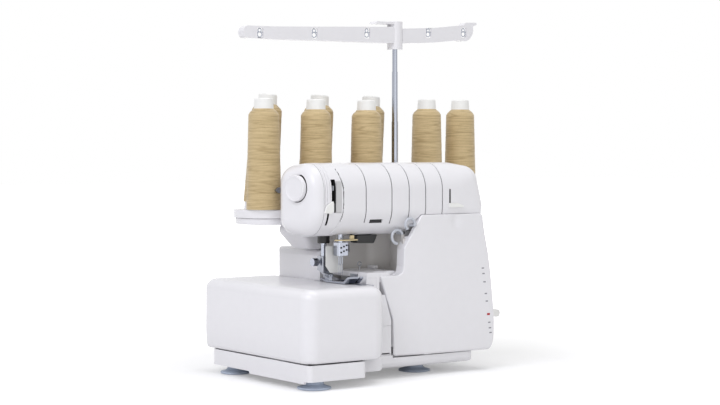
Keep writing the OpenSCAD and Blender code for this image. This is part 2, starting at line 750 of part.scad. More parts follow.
module foot_holder() place() color(steel)
    difference() {
        union() {
            along_z(holder_z + 9, holder_z + 29)
                round_rect([presser_x - 7, presser_y - 8], [presser_x + 7, presser_y + 7], 2);
            along_x(presser_x - 5.6, presser_x + 5.6)
                polygon([[presser_y - 7.6, holder_z + 10], [presser_y - 7.6, holder_z + 6],
                         [foot_axis_y - 3.5, foot_axis_z + 2], [foot_axis_y - 3.5, holder_z],
                         [foot_axis_y + 4, holder_z], [foot_axis_y + 5, holder_z + 4],
                         [presser_y + 6.6, holder_z + 9.5], [presser_y + 6.6, holder_z + 12]]);
        }
        post(presser_x, presser_y, holder_z + 8, holder_z + 40, bar_d);
        block([presser_x - 2.9, foot_axis_y - 12, holder_z - 1],
              [presser_x + 2.9, foot_axis_y + 8, holder_z + 8]);
        rod_x(foot_axis_y, foot_axis_z, presser_x - 9, presser_x + 9, foot_pin_d);
        rod_x(presser_y, holder_z + 21, presser_x - 9, presser_x, 4 + fit);
    }

foot_pin_d = 2;

module thumb_screw() place() color(black)
    translate([presser_x, presser_y, holder_z + 21]) {
        rod_x(0, 0, -11, -bar_d / 2 - 0.2, 4);
        difference() {
            rod_x(0, 0, -19, -11, 11);
            for (a = [0:30:330]) rotate([a, 0, 0]) rod_x(0, 5.9, -20, -12.5, 1.6);
        }
    }

foot_l = presser_x - 6;
foot_r = presser_x + 19;

module presser_foot() place() color(steel)
    difference() {
        union() {
            intersection() {
                along_x(foot_l, foot_r)
                    polygon([[43, 142.2], [45, 141], [53, bed_z + 0.8], [97, bed_z + 0.8], [112, bed_z + 4.4],
                             [112, bed_z + 5.6], [98, bed_z + 3.4], [56, bed_z + 3.2], [48, 143],
                             [44, 144.6]]);
                along_z(100, 200) round_rect([foot_l, 40], [foot_r, 114], 4);
            }
            along_x(presser_x - 2.6, presser_x + 2.6)
                polygon([[foot_axis_y - 5.5, bed_z + 2.6], [foot_axis_y - 3.6, foot_axis_z + 1],
                         [foot_axis_y - 2, foot_axis_z + 2.6], [foot_axis_y + 2.4, foot_axis_z + 2.6],
                         [foot_axis_y + 4, foot_axis_z], [foot_axis_y + 6, bed_z + 3]]);
        }
        block([103.4, 70, bed_z - 1], [112.8, 90, bed_z + 12]);
        block([110.4, 30, bed_z - 1], [112.8, 71, bed_z + 12]);
        rod_x(foot_axis_y, foot_axis_z, presser_x - 4, presser_x + 4, foot_pin_d + fit);
    }

module foot_pin() place() color(steel)
    rod_x(foot_axis_y, foot_axis_z, presser_x - 7, presser_x + 7, foot_pin_d);

lifter_at = [118, 262];
lifter_d = 8;

module presser_lifter() place() color(steel) {
    rod_y(lifter_at.x, lifter_at.y, arm_b - 6.5, head_b + 5.6, lifter_d);
    along_y(head_b + 1, head_b + 4.5)
        soften(1) polygon([[lifter_at.x + 7, 255], [lifter_at.x + 7, 269], [lifter_at.x - 8, 269], [40, 266],
                           [36, 262], [40, 258], [lifter_at.x - 8, 255]]);
}

// ---- needle bar -------------------------------------------------------------------------------------

module needle_bar() place() color(steel) post(needle_x, needle_y, clamp_z + 6, arm_top + 6, bar_d);

clamp_h = 18;

module needle_clamp() place() color(steel)
    difference() {
        union() {
            along_z(clamp_z, clamp_z + clamp_h)
                round_rect([needle_x - 8.5, needle_y - 8], [needle_x + 8.5, needle_y + 6.5], 2.5);
            along_z(clamp_z + 5, clamp_z + clamp_h - 3)
                polygon([[needle_x + 8, needle_y - 6], [needle_x + 13, needle_y - 3],
                         [needle_x + 13, needle_y + 3], [needle_x + 8, needle_y + 5]]);
        }
        post(needle_x, needle_y, clamp_z + 6, clamp_z + clamp_h + 1, bar_d);
        for (s = screw_spots) rod_y(s.x, s.y, needle_y - 9, needle_y - 4, 2.6);
        for (x = needle_rows) post(x, needle_y, clamp_z - 1, clamp_z + 6, needle_shank);
    }

needle_rows = [needle_x - 2.8, needle_x, needle_x + 2.8];
needle_shank = 2;
screw_spots = [for (i = [0:1], j = [0:2]) [needle_x - 4.6 + j * 4.6, clamp_z + 4.6 + i * 6.4 + j * 1.6]];

module needle_screws() place() color(black)
    for (s = screw_spots)
        difference() {
            rod_y(s.x, s.y, needle_y - 8.6, needle_y - 4.2, 2.6);
            rod_y(s.x, s.y, needle_y - 9, needle_y - 7.2, 1.2);
        }

module needles() place() color(steel)
    for (x = needle_rows) translate([x, needle_y, 0]) {
        translate([0, 0, clamp_z - 12]) cylinder(d = needle_shank, h = 17.5, $fn = 24);
        translate([0, 0, clamp_z - 14]) cylinder(d1 = 1, d2 = needle_shank, h = 2, $fn = 24);
        translate([0, 0, bed_z + needle_lift + 3])
            cylinder(d = 1, h = clamp_z - 14 - bed_z - needle_lift - 3, $fn = 24);
        translate([0, 0, bed_z + needle_lift]) cylinder(d1 = 0.2, d2 = 1, h = 3, $fn = 24);
    }

module finger_guard() place() color(white)
    difference() {
        along_y(91.5, 93.3)
            soften(1.5) polygon([[97, 147.5], [119.5, 147.5], [120.6, 170], [121.6, 178], [121.6, 205],
                                 [86.4, 205], [86.4, 188], [96, 176]]);
        block([115, 90, 144], [117, 95, 168]);
    }

// ---- thread guides ----------------------------------------------------------------------------------

module brass_guide() place() color(brass) {
    along_z(head_low - 6.4, head_low - 4.4)
        soften(0.8) polygon([[91, 58], [112, 54], [126, 56], [126, 64], [112, 62], [92, 66]]);
    block([120, 63.6, head_low - 4.6], [125.6, 68, head_low + 1]);
}

module black_guide() place() color(black)
    along_y(68, 84)
        polygon([[126, head_low - 0.2], [186, head_low - 0.2], [176, head_low - 10], [126, head_low - 11]]);

module thread_hooks() place() color(white) {
    translate([182, 50, 197]) hook_ring(9.3);
    rod_y(190.7, 201.6, 50, 62.8, 3);
    translate([195.5, 38, 214.5]) rotate([0, 35, 0]) hook_ring(8);
    rod_y(203.2, 212.4, 38, 48.9, 3.2);
}

module hook_ring(r)
    rotate([90, 0, 0]) rotate([0, 0, 20])
        rotate_extrude(angle = 250, $fn = 48) translate([r, 0]) circle(2, $fn = 24);

module wire_guide() place() color(steel) {
    post(153, 100, deck_top, deck_top + 6, 1.2);
    translate([153, 100, deck_top + 8.6]) rotate([90, 0, 0]) ring(3, 0.6);
}

// ---- controls ---------------------------------------------------------------------------------------

knob_stem = 8;

module knob_frame() translate(knob_at) rotate([0, 0, knob_turn]) rotate([0, -90, 0]) children();

module pressure_knob() place() color(white)
    knob_frame() {
        translate([0, 0, 0.4])
            rotate_extrude($fn = 96)
                polygon([[0, 0], [18, 0], [18, 4.6], [17.4, 5.6], [16, 6], [14.6, 5.2], [12, 4.6], [0, 4.6]]);
        translate([0, 0, -14]) cylinder(d = knob_stem, h = 15, $fn = 48);
    }

takeup_at = [86, 250];
takeup_d = 4;

module takeup_lever() place() color(steel) {
    rod_x(takeup_at.x, takeup_at.y, 62.6, arm_l + 9, takeup_d);
    along_x(66, 67.6)
        polygon([[takeup_at.x + 4, takeup_at.y - 4], [takeup_at.x + 3, takeup_at.y + 4], [head_f + 8, 270],
                 [head_f + 1, 269.5], [head_f + 1, 263], [head_f + 8, 262]]);
}

module takeup_plate() place() color(grey)
    block([71.8, head_f - 0.2, 233], [80, head_f + 1.9, 275.6]);

module threader_lever() place() color(white) {
    along_y(head_f - 4, head_f - 0.4)
        soften(0.6) polygon([[50.5, 233], [55, 243], [64.5, 249], [64.5, 235], [61, 232]]);
    block([57.4, head_f - 1, 236], [59.6, head_f + 10, 241]);
}

module mode_lever() place() color(white) {
    along_y(head_f - 4.6, head_f - 0.4)
        soften(0.8) polygon([[265, 236.6], [265, 242.6], [277, 242.6], [290, 239], [289, 236.6]]);
    block([267, head_f - 1, 240], [269, head_f + 10, 242.2]);
}

module feed_lever() place() color(white) {
    rod_y(lever_pivot.x, lever_pivot.y, lever_y - 4.6, lever_y + 8, 5);
    along_y(lever_y - 2.4, lever_y + 2.4)
        polygon([[lever_pivot.x, lever_pivot.y - 5], [lever_pivot.x, lever_pivot.y + 5],
                 [352, 90], [372, 84.6],
                 [381, 83], [383.4, 79], [382, 73.6], [377, 72.4], [352, 80.4]]);
}

lever_pivot = [322.6, 86];

module length_dial() place() color(shade_white) {
    difference() {
        rod_x(dial_at.x, dial_at.y, 346, 355.5, 34);
        for (a = [0:30:330])
            translate([0, dial_at.x, dial_at.y]) rotate([a, 0, 0]) rod_x(0, 18, 348.5, 356.5, 3);
    }
    rod_x(dial_at.x, dial_at.y, 326, 346.5, dial_stem);
}

module power_switch() place() color(black)
    along_y(209, 223) polygon([[343, 64], [343, 84], [351.6, 84], [349.4, 74], [348.6, 64]]);

module power_inlet() place() color(black)
    difference() {
        block([331, 203.4, 38.4], [344, 228.6, 55.6]);
        block([334, 206, 41], [345, 226, 53]);
    }

// ---- drive ------------------------------------------------------------------------------------------

module main_shaft() place() color(steel) {
    rod_x(shaft_y, shaft_z, 118, 372, shaft_d);
    rod_x(shaft_y, shaft_z, 312, 320, 44);
    rod_x(shaft_y + 6, shaft_z, 136, 144, 28);
}

module handwheel() place() color(white)
    translate([0, shaft_y, shaft_z]) rotate([0, 90, 0]) translate([0, 0, 355])
        difference() {
            rotate_extrude($fn = 96)
                polygon([[shaft_d / 2, 0], [wheel_d / 2 - 2, 0], [wheel_d / 2, 2], [wheel_d / 2, 15],
                         [wheel_d / 2 - 3, 18], [wheel_d / 2 - 8, 18], [wheel_d / 2 - 11, 15],
                         [shaft_d / 2, 15]]);
            for (a = [0:15:345])
                rotate(a) translate([wheel_d / 2 + 1, 0, -1]) cylinder(d = 4, h = 14, $fn = 24);
        }

module drive_belt() place() color(black)
    along_x(313, 319)
        difference() {
            offset(2) belt_line();
            offset(0.3) belt_line();
        }

// The belt's pitch line: round the shaft's pulley and the motor's
module belt_line()
    hull() {
        translate([shaft_y, shaft_z]) circle(22, $fn = 64);
        translate([motor_y, motor_z]) circle(9, $fn = 48);
    }

motor_r = column_r - 8.4;
rotor_l = 50;           // length of the motor's rotor

module motor() place() color(black)
    difference() {
        union() {
            rod_x(motor_y, motor_z, motor_r - 68, motor_r, motor_d);
            rod_x(motor_y, motor_z, motor_r - 76, motor_r - 67, 18);
            block([motor_r - 60, motor_y - 16, frame_z + 5], [motor_r - 10, motor_y + 16, motor_z - 12]);
        }
        rod_x(motor_y, motor_z, motor_r - rotor_l - 10, motor_r - 6, motor_d - 8);
        for (a = [0:30:330]) translate([0, motor_y, motor_z]) rotate([a, 0, 0])
            block([motor_r - 58, -1.5, motor_d / 2 - 2], [motor_r - 12, 1.5, motor_d / 2 + 1]);
        rod_x(motor_y, motor_z, motor_r - 71, motor_r + 1, 5 + fit);
    }

// The motor's moving part: its rotor, which turns inside the case, its shaft and the pulley
module motor_pulley() place() color(steel) {
    rod_x(motor_y, motor_z, motor_r - 70, 322, 5);
    rod_x(motor_y, motor_z, motor_r - rotor_l - 8, motor_r - 8, motor_d - 12);
    rod_x(motor_y, motor_z, 312, 320, 18);
}

// ---- stitch mechanism -------------------------------------------------------------------------------

lower_at = [150, 66];
upper_at = [176, 78];

module lower_looper() place() color(steel) {
    rod_y(lower_at.x, lower_at.y, 84, 127.7, 8);
    along_y(84, 90)
        soften(1) polygon([[lower_at.x + 6, lower_at.y - 6], [lower_at.x + 6, lower_at.y + 4],
                           [136, 106], [131, 104],
                           [lower_at.x - 7, lower_at.y - 4]]);
    along_y(87.5, 90) polygon([[136, 107], [130, 107], [120, 111.5], [114, 112], [121, 108.5], [131, 103]]);
}

module upper_looper() place() color(steel) {
    rod_y(upper_at.x, upper_at.y, 74, 127.7, 8);
    along_y(74, 80)
        soften(1) polygon([[upper_at.x + 6, upper_at.y - 6], [upper_at.x + 7, upper_at.y + 4],
                           [158, 112], [153, 110],
                           [upper_at.x - 7, upper_at.y - 4]]);
}

module upper_knife() place() color(steel) {
    block([125.4, 68, bed_z - 3], [127.4, 84, bed_z + 12]);
    block([125.4, 68, bed_z - 50], [127.4, 78, bed_z - 2]);
    block([125.4, 77, bed_z - 50], [127.4, 127.7, bed_z - 44]);
}

module feed_dogs() place() color(steel) {
    for (y = [61, 104]) block([dog_rows[0] - 1.2, y, bed_z - 9], [dog_rows[2] + 1.2, y + 2, bed_z - 6.5]);
    for (x = dog_rows) {
        difference() {
            block([x - 1.2, 91, bed_z - 9], [x + 1.2, 105, bed_z - 0.2]);
            for (y = [92:2:104])
                along_x(x - 2, x + 2)
                    polygon([[y, bed_z + 0.1], [y + 1.6, bed_z + 0.1], [y + 1.6, bed_z - 1.2]]);
        }
        block([x - 1.2, 61, bed_z - 9], [x + 1.2, 73, bed_z - 0.2]);
        // the left row's two halves leave room between them for the needles
        if (x > needle_x + 4) block([x - 1.2, 61, bed_z - 9], [x + 1.2, 105, bed_z - 6.5]);
    }
}

// ---- assembly ---------------------------------------------------------------------------------------

base_pan();
feet();
machine_frame();
rear_cover();
side_cover();
neck_cover();
arm_cover();
face_cover();
throat_panel();
looper_panel();
front_panel();
needle_plate();
knife_deck();
cloth_box();
looper_cover();
cover_hinge();
spool_tray();
tray_bracket();
spool_pins();
cone_cores();
thread_cones();
pole_lower();
pole_middle();
pole_upper();
guide_bar();
guide_eyelets();
presser_bar();
presser_bush();
foot_holder();
thumb_screw();
presser_foot();
foot_pin();
presser_lifter();
needle_bar();
needle_clamp();
needle_screws();
needles();
finger_guard();
brass_guide();
black_guide();
thread_hooks();
wire_guide();
pressure_knob();
takeup_lever();
takeup_plate();
threader_lever();
mode_lever();
main_shaft();
handwheel();
drive_belt();
motor();
motor_pulley();
upper_looper();
lower_looper();
upper_knife();
feed_dogs();
length_dial();
feed_lever();
power_switch();
power_inlet();
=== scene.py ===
# %% [markdown]
# # A serger overlock machine
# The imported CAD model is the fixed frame: it holds every size and every joint. This lesson builds what the eye
# sees around it: smooth moulded covers, wound thread, chromed metal, soft light. Each cell makes one piece or
# one finish, so a reader can run the lesson from top to bottom and look at each step.

import math

import bmesh
import bpy
import numpy as np
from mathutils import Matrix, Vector, noise
from mathutils.bvhtree import BVHTree


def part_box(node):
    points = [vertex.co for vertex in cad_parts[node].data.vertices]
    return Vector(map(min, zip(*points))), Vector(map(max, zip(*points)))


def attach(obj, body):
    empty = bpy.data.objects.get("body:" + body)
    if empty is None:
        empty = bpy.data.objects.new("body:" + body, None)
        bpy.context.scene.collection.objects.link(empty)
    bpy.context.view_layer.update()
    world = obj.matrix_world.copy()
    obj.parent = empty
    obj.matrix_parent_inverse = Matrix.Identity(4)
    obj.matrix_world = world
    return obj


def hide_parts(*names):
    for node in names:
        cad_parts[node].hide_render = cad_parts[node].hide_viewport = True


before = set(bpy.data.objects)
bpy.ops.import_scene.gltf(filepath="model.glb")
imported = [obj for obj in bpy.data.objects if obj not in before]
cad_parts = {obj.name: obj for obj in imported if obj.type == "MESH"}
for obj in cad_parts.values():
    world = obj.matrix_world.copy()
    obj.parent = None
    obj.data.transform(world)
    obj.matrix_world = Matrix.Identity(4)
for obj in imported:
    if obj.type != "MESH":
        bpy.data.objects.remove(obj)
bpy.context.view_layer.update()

# %% [markdown]
# The CAD drawing counts in millimetres from the bed's front left corner, and the frame counts in metres from
# under the middle of the machine. The cloth box starts 4 mm left and 2 mm in front of the drawing's corner,
# so its box gives the shift between the two, and every size below can be the drawing's own.

# %% Drawing millimetres to frame metres
MM = 0.001
cloth_box_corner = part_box("cloth_box")[0]
CORNER = Vector((cloth_box_corner.x + 4 * MM, cloth_box_corner.y + 2 * MM, 0))


def at(x, y, z):
    """A point of the drawing, in the frame's metres."""
    return CORNER + Vector((x, y, z)) * MM


def new_object(name, data):
    """An object in the scene that shows a mesh, or is a lamp or a camera."""
    made = bpy.data.objects.new(name, data)
    bpy.context.scene.collection.objects.link(made)
    return made


print("drawing corner at", [round(v, 4) for v in CORNER])

# %% [markdown]
# The camera stands far away with a long lens, as in a product studio, so that upright edges stay upright.
# It looks from the front left, a little downwards.

# %% Camera
CAMERA_AT = (-1226.3, -1817.5, 317.9)
CAMERA_YAW, CAMERA_PITCH = math.radians(35.748), math.radians(1.793)
camera_data = bpy.data.cameras.new("camera")
camera_data.lens, camera_data.sensor_width = 84.0, 36.0
camera_data.clip_end = 20
camera = new_object("camera", camera_data)
camera.location = at(*CAMERA_AT)
looks_along = Vector((math.sin(CAMERA_YAW) * math.cos(CAMERA_PITCH),
                      math.cos(CAMERA_YAW) * math.cos(CAMERA_PITCH), -math.sin(CAMERA_PITCH)))
camera.rotation_mode = "QUATERNION"
camera.rotation_quaternion = looks_along.to_track_quat("-Z", "Y")
bpy.context.scene.camera = camera
print("camera at", [round(v, 3) for v in camera.location])

# %% [markdown]
# Materials are made of nodes. One small function adds a node with its settings and links, and another turns
# the given sRGB hex value into the linear colour that the renderer needs.

# %% Colour and node helpers


def linear(hex_colour):
    """The linear colour of an sRGB hex value such as "#ECEAEE"."""
    parts = [int(hex_colour[i:i + 2], 16) / 255 for i in (1, 3, 5)]
    return tuple(c / 12.92 if c <= 0.04045 else ((c + 0.055) / 1.055) ** 2.4 for c in parts) + (1.0,)


def feed(tree, node, links):
    """Sets a node's inputs, to values or to other nodes' sockets."""
    for name, value in links.items():
        if isinstance(value, bpy.types.NodeSocket):
            tree.links.new(value, node.inputs[name])
        else:
            node.inputs[name].default_value = value


def add(tree, kind, links=None, **settings):
    """Adds a node: links are its inputs, and settings its properties."""
    made = tree.nodes.new(kind)
    for name, value in settings.items():
        setattr(made, name, value)
    feed(tree, made, links or {})
    return made


def new_material(name):
    """An empty material's tree, with its shader and with the piece's own coordinates, in metres."""
    material = bpy.data.materials.new(name)
    material.use_nodes = True
    tree = material.node_tree
    shader = tree.nodes["Principled BSDF"]
    where = add(tree, "ShaderNodeTexCoord").outputs["Object"]
    return material, tree, shader, where


def grain_of(tree, where, size_mm, detail):
    """Noise whose features have a real size."""
    return add(tree, "ShaderNodeTexNoise", {"Vector": where, "Scale": 1 / (size_mm * MM), "Detail": detail})


def toned(tree, factor, hex_colour, share):
    """A colour that goes from a hex value to a share of it."""
    colour = linear(hex_colour)
    return add(tree, "ShaderNodeMix", {0: factor, 6: colour, 7: [c * share for c in colour[:3]] + [1.0]},
               data_type="RGBA").outputs[2]


def bumped(tree, height, strength, depth_mm, **under):
    """A surface normal bent by a height of some real depth, over another one if it is given."""
    return add(tree, "ShaderNodeBump", {"Height": height, "Strength": strength, "Distance": depth_mm * MM,
                                        **under}).outputs["Normal"]


# %% [markdown]
# The covers are injection-moulded ABS with a polished mould. The eye sees a clean white with a broad soft
# shine, and a very faint waviness, where the thick plastic shrank as it cooled. The waves are about 12 mm long,
# and a finer skin of 0.8 mm breaks the reflections' edges.


# %% Moulded ABS
WAVE_MM, WAVE_DEPTH_MM = 12.0, 0.01
SKIN_MM, SKIN_DEPTH_MM, GLOSS_SPREAD = 0.8, 0.004, 0.03
ABS_TONE, ABS_IOR = 0.975, 1.54


def moulded_abs(name, hex_colour, roughness):
    material, tree, shader, where = new_material(name)
    waves = grain_of(tree, where, WAVE_MM, 1.0).outputs["Fac"]
    skin = grain_of(tree, where, SKIN_MM, 2.0).outputs["Fac"]
    gloss = add(tree, "ShaderNodeMapRange", {"Value": skin, "To Min": roughness - GLOSS_SPREAD,
                                             "To Max": roughness + GLOSS_SPREAD})
    wave_bump = bumped(tree, waves, 0.35, WAVE_DEPTH_MM)
    feed(tree, shader, {"Base Color": toned(tree, waves, hex_colour, ABS_TONE),
                        "Roughness": gloss.outputs["Result"], "IOR": ABS_IOR,
                        "Normal": bumped(tree, skin, 0.2, SKIN_DEPTH_MM, Normal=wave_bump)})
    return material


WHITE_ABS = moulded_abs("abs_white_polished", "#EBEAED", 0.26)
SATIN_ABS = moulded_abs("abs_white_satin", "#E2E1E3", 0.42)
# Painted shade: the throat panel is white ABS painted a pale grey, for the shade that falls on it under the
# head.
PAINTED_SHADE_GREY_ABS = moulded_abs("abs_white_satin_painted_grey_shade", "#D6D3D0", 0.38)
CORE_PLASTIC = moulded_abs("polypropylene_white_moulded", "#F1F1EE", 0.34)
BLACK_NYLON = moulded_abs("nylon_black_moulded", "#0F0F11", 0.45)
PLATE_ABS = moulded_abs("abs_pale_grey_satin", "#CBCACB", 0.36)
HOOK_PLASTIC = moulded_abs("polycarbonate_smoke_moulded", "#C2C6CE", 0.15)
# Painted shade: a near-black ABS stands for the shade deep inside the head and in its slots, grooves, seam and
# knob well, whose real plastic is unpainted white.
PAINTED_SHADE_ABS = moulded_abs("abs_painted_shade_inside", "#252426", 0.7)
print("ABS, polypropylene and nylon made")

# %% [markdown]
# Most metal parts are steel. Polished chrome plate is nearly a mirror; ground steel has fine scratches along
# the grinding direction, 0.15 mm apart, drawn at 0.4 mm so that they show. The frame is die-cast aluminium
# with the sandy skin of its mould, and one thread guide is satin brass.


# %% Metals
def plated(name, hex_colour, roughness, grain_mm, stretch=(1, 1, 1), bump_mm=0.004):
    material, tree, shader, where = new_material(name)
    scaled = add(tree, "ShaderNodeMapping", {"Vector": where, "Scale": stretch})
    grain = grain_of(tree, scaled.outputs[0], grain_mm, 3.0).outputs["Fac"]
    gloss = add(tree, "ShaderNodeMapRange", {"Value": grain, "To Min": roughness * 0.7,
                                             "To Max": roughness * 1.4})
    feed(tree, shader, {"Base Color": linear(hex_colour), "Metallic": 1.0,
                        "Roughness": gloss.outputs["Result"], "Normal": bumped(tree, grain, 0.3, bump_mm)})
    return material


CHROME = plated("steel_chrome_polished", "#A7ABB6", 0.14, 2.0, bump_mm=0.02)
STEEL = plated("steel_ground", "#A3A6AE", 0.3, 0.4, (1, 1, 0.08))
CAST = plated("aluminium_die_cast", "#A8A9AB", 0.5, 0.9, bump_mm=0.05)
BRASS = plated("brass_stamped_satin", "#B8AA88", 0.32, 0.6)
print("metals made")


# %% [markdown]
# Rubber and enamel: the feet are a pale blue-grey elastomer with a dull bloom, the belt is black neoprene,
# and the motor's case is black enamel.


# %% Rubbers and enamel
DULL_TONE, DULL_DEPTH_MM = 0.86, 0.02


def dull(name, hex_colour, roughness, grain_mm, ior):
    material, tree, shader, where = new_material(name)
    grain = grain_of(tree, where, grain_mm, 3.0).outputs["Fac"]
    feed(tree, shader, {"Base Color": toned(tree, grain, hex_colour, DULL_TONE), "Roughness": roughness,
                        "IOR": ior, "Normal": bumped(tree, grain, 0.3, DULL_DEPTH_MM)})
    return material


FOOT_RUBBER = dull("elastomer_blue_grey_moulded", "#B6C1D2", 0.45, 1.5, 1.5)
BELT_RUBBER = dull("neoprene_black_moulded", "#1A1A1A", 0.7, 0.8, 1.52)
ENAMEL = dull("enamel_black_sprayed", "#18181A", 0.3, 0.6, 1.5)
print("rubbers and enamel made")

# %% [markdown]
# The thread is spun polyester, wound on its cone in wavy turns. The mesh of each cone carries a value named
# gap, which is 1 in the gap between two windings, and there the colour is painted darker, as painted shade for
# the shadow down in the gap. Real thread is 0.3 mm thick, with a fuzz that scatters light softly: a grain of
# 0.7 mm, and streaks along the turns, drawn 1.1 mm apart so that they show.

# %% Thread
TURN_MM, FUZZ_MM, THREAD_DEPTH_MM = 1.1, 0.7, 0.15


def wound_thread(name, hex_light, hex_dark):
    material, tree, shader, where = new_material(name)
    gap = add(tree, "ShaderNodeAttribute", attribute_name="gap")
    level = add(tree, "ShaderNodeMapping", {"Vector": where, "Scale": (0.05, 0.05, 1)})
    turns = grain_of(tree, level.outputs[0], TURN_MM, 2.0)
    fuzz = grain_of(tree, where, FUZZ_MM, 3.0)
    fine = add(tree, "ShaderNodeMath", {0: turns.outputs["Fac"], 1: fuzz.outputs["Fac"]}, operation="ADD")
    lit = add(tree, "ShaderNodeMapRange", {"Value": fine.outputs[0], "From Min": 0.6, "From Max": 1.3,
                                           "To Min": 0.42, "To Max": 1.1})
    # Painted shade: the colour darkens by half of the gap value, for the shade down between the windings.
    shade = add(tree, "ShaderNodeMath", {0: gap.outputs["Fac"], 1: -0.5, 2: lit.outputs["Result"]},
                operation="MULTIPLY_ADD")
    kept = add(tree, "ShaderNodeClamp", {"Value": shade.outputs[0]})
    tone = add(tree, "ShaderNodeMix", {0: kept.outputs[0], 6: linear(hex_dark), 7: linear(hex_light)},
               data_type="RGBA")
    feed(tree, shader, {"Base Color": tone.outputs[2], "Roughness": 0.62, "IOR": 1.5, "Sheen Weight": 0.25,
                        "Normal": bumped(tree, fine.outputs[0], 0.4, THREAD_DEPTH_MM)})
    return material


THREAD = wound_thread("polyester_thread_tan_wound", "#D0B98C", "#A0895C")
print("thread made")

# %% [markdown]
# Shapes are built from rings and outlines. A few helpers turn drawing millimetres into mesh objects, round the
# corners of an outline, carry an outline along an axis, and cut one shape out of another.


# %% Shape helpers
def build(name, points, faces):
    """A mesh object from points in drawing millimetres."""
    mesh = bpy.data.meshes.new(name)
    mesh.from_pydata([at(*p) for p in points], [], faces)
    mesh.update()
    return new_object(name, mesh)


def skin_faces(rows, count, flip=False, closed=True):
    """Faces over rows of rings with count points each; a closed skin has one face over each end."""
    faces = []
    for a in range(0, (rows - 1) * count, count):
        for i in range(count):
            j = (i + 1) % count
            faces.append((a + i, a + j, a + count + j, a + count + i))
    if closed:
        faces.append(tuple(reversed(range(count))))
        faces.append(tuple((rows - 1) * count + i for i in range(count)))
    return [tuple(reversed(f)) for f in faces] if flip else faces


def rounded(corners, radius, steps):
    """Rounds the corners of an outline; radius is one number, or one for each corner."""
    outline = []
    for i, corner in enumerate(corners):
        here, before, after = (Vector(corners[k % len(corners)]) for k in (i, i - 1, i + 1))
        r = radius[i] if isinstance(radius, (list, tuple)) else radius
        back, on = (before - here), (after - here)
        half = back.angle(on) / 2
        cut = min(r / math.tan(half), 0.49 * back.length, 0.49 * on.length)
        if cut < 1e-4:
            outline.append(tuple(here))
            continue
        r = cut * math.tan(half)
        back.normalize(), on.normalize()
        centre = here + (back + on).normalized() * (r / math.sin(half))
        first, last = here + back * cut - centre, here + on * cut - centre
        a0, a1 = math.atan2(first.y, first.x), math.atan2(last.y, last.x)
        turn = (a1 - a0 + math.pi) % (2 * math.pi) - math.pi
        angles = [a0 + turn * k / steps for k in range(steps + 1)]
        outline += [tuple(centre + r * Vector((math.cos(a), math.sin(a)))) for a in angles]
    return outline


def counter_clockwise(outline):
    area = sum(a[0] * b[1] - b[0] * a[1] for a, b in zip(outline, outline[1:] + outline[:1]))
    return list(outline) if area > 0 else list(reversed(outline))


def lift(outline, axis, depth):
    """An outline drawn in the plane across an axis, as points at a depth along it."""
    return [{"x": (depth, a, b), "y": (a, depth, b), "z": (a, b, depth)}[axis] for a, b in outline]


def bevel_edges(obj, width_mm, segments, angle):
    """Rounds the edges of an object that are sharper than an angle."""
    bevel = obj.modifiers.new("rounded_edges", "BEVEL")
    bevel.width, bevel.segments = width_mm * MM, segments
    bevel.limit_method, bevel.angle_limit = "ANGLE", math.radians(angle)
    return bevel


def keep_flat(obj):
    """Keeps an object's flat faces flat to the eye, beside its rounded edges."""
    obj.modifiers.new("flat_faces", "WEIGHTED_NORMAL").keep_sharp = True


def soften_edges(obj, width_mm, segments=3, angle=40):
    """Rounds an object's sharp edges, its corners too, and keeps its flat faces flat to the eye."""
    bevel_edges(obj, width_mm, segments, angle).miter_outer = "MITER_ARC"
    keep_flat(obj)


def smooth(obj, angle=35):
    """Shades an object smoothly, apart from edges sharper than an angle."""
    obj.data.shade_smooth()
    obj.data.set_sharp_from_angle(angle=math.radians(angle))
    return obj


def prism(name, outline, axis, start, end, edge=0.0):
    """A solid with one outline, carried along an axis, its rims rounded by edge millimetres."""
    outline = counter_clockwise(outline)
    count = len(outline)
    points = lift(outline, axis, start) + lift(outline, axis, end)
    made = smooth(build(name, points, skin_faces(2, count, flip=(axis == "y"))))
    if edge:
        soften_edges(made, edge)
    return made


def block(name, low, high):
    """A box between two corners."""
    return prism(name, [(low[0], low[1]), (high[0], low[1]), (high[0], high[1]), (low[0], high[1])], "z",
                 low[2], high[2])


def face_outward(obj):
    """Turns every face of a closed mesh outward."""
    mesh = bmesh.new()
    mesh.from_mesh(obj.data)
    bmesh.ops.recalc_face_normals(mesh, faces=mesh.faces)
    mesh.to_mesh(obj.data)
    mesh.free()
    return obj


def keep_modifiers(obj):
    """Makes what the modifiers show the object's own mesh."""
    graph = bpy.context.evaluated_depsgraph_get()
    made = bpy.data.meshes.new_from_object(obj.evaluated_get(graph))
    obj.modifiers.clear()
    obj.data = made


def join(name, parts):
    """Joins several objects into one."""
    whole = bmesh.new()
    for part in parts:
        keep_modifiers(part)
        whole.from_mesh(part.data)
    mesh = bpy.data.meshes.new(name)
    whole.to_mesh(mesh)
    whole.free()
    for part in parts:
        bpy.data.objects.remove(part)
    return new_object(name, mesh)


def finish_piece(obj, material, body, slot, *nodes):
    """Gives a piece its finish, lets it ride on its body and stand for its CAD nodes."""
    if not obj.data.materials:
        obj.data.materials.append(material)
    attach(obj, body)
    if nodes:
        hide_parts(*nodes)
    print(f"{obj.name}: {len(obj.data.vertices)} points on {body}")


print("helpers ready")

# %% [markdown]
# The head is the machine's largest moulding. Its skin is a smooth hull over balls of different sizes: small
# ones round its left face, large ones at its right end, and between them one rounded profile. A fine grid of
# rings is laid on that hull by casting rays from a line in its middle, which gives even quads that take a soft
# reflection well. The upright thread grooves and the curved seam of the face side are extra rings, pushed in.

# %% Hull of the head
HEAD_FRONT, HEAD_BACK, HEAD_LOW, HEAD_TOP, HEAD_RIGHT = 40, 135, 200, 300, 334
FRONT_ARC, BACK_ARC = 38, 27
FACE_SEAM = 51.5
MIDDLE_Y, MIDDLE_Z = 84, 250
BALL_STEPS, BALL_TURN = 72, 3


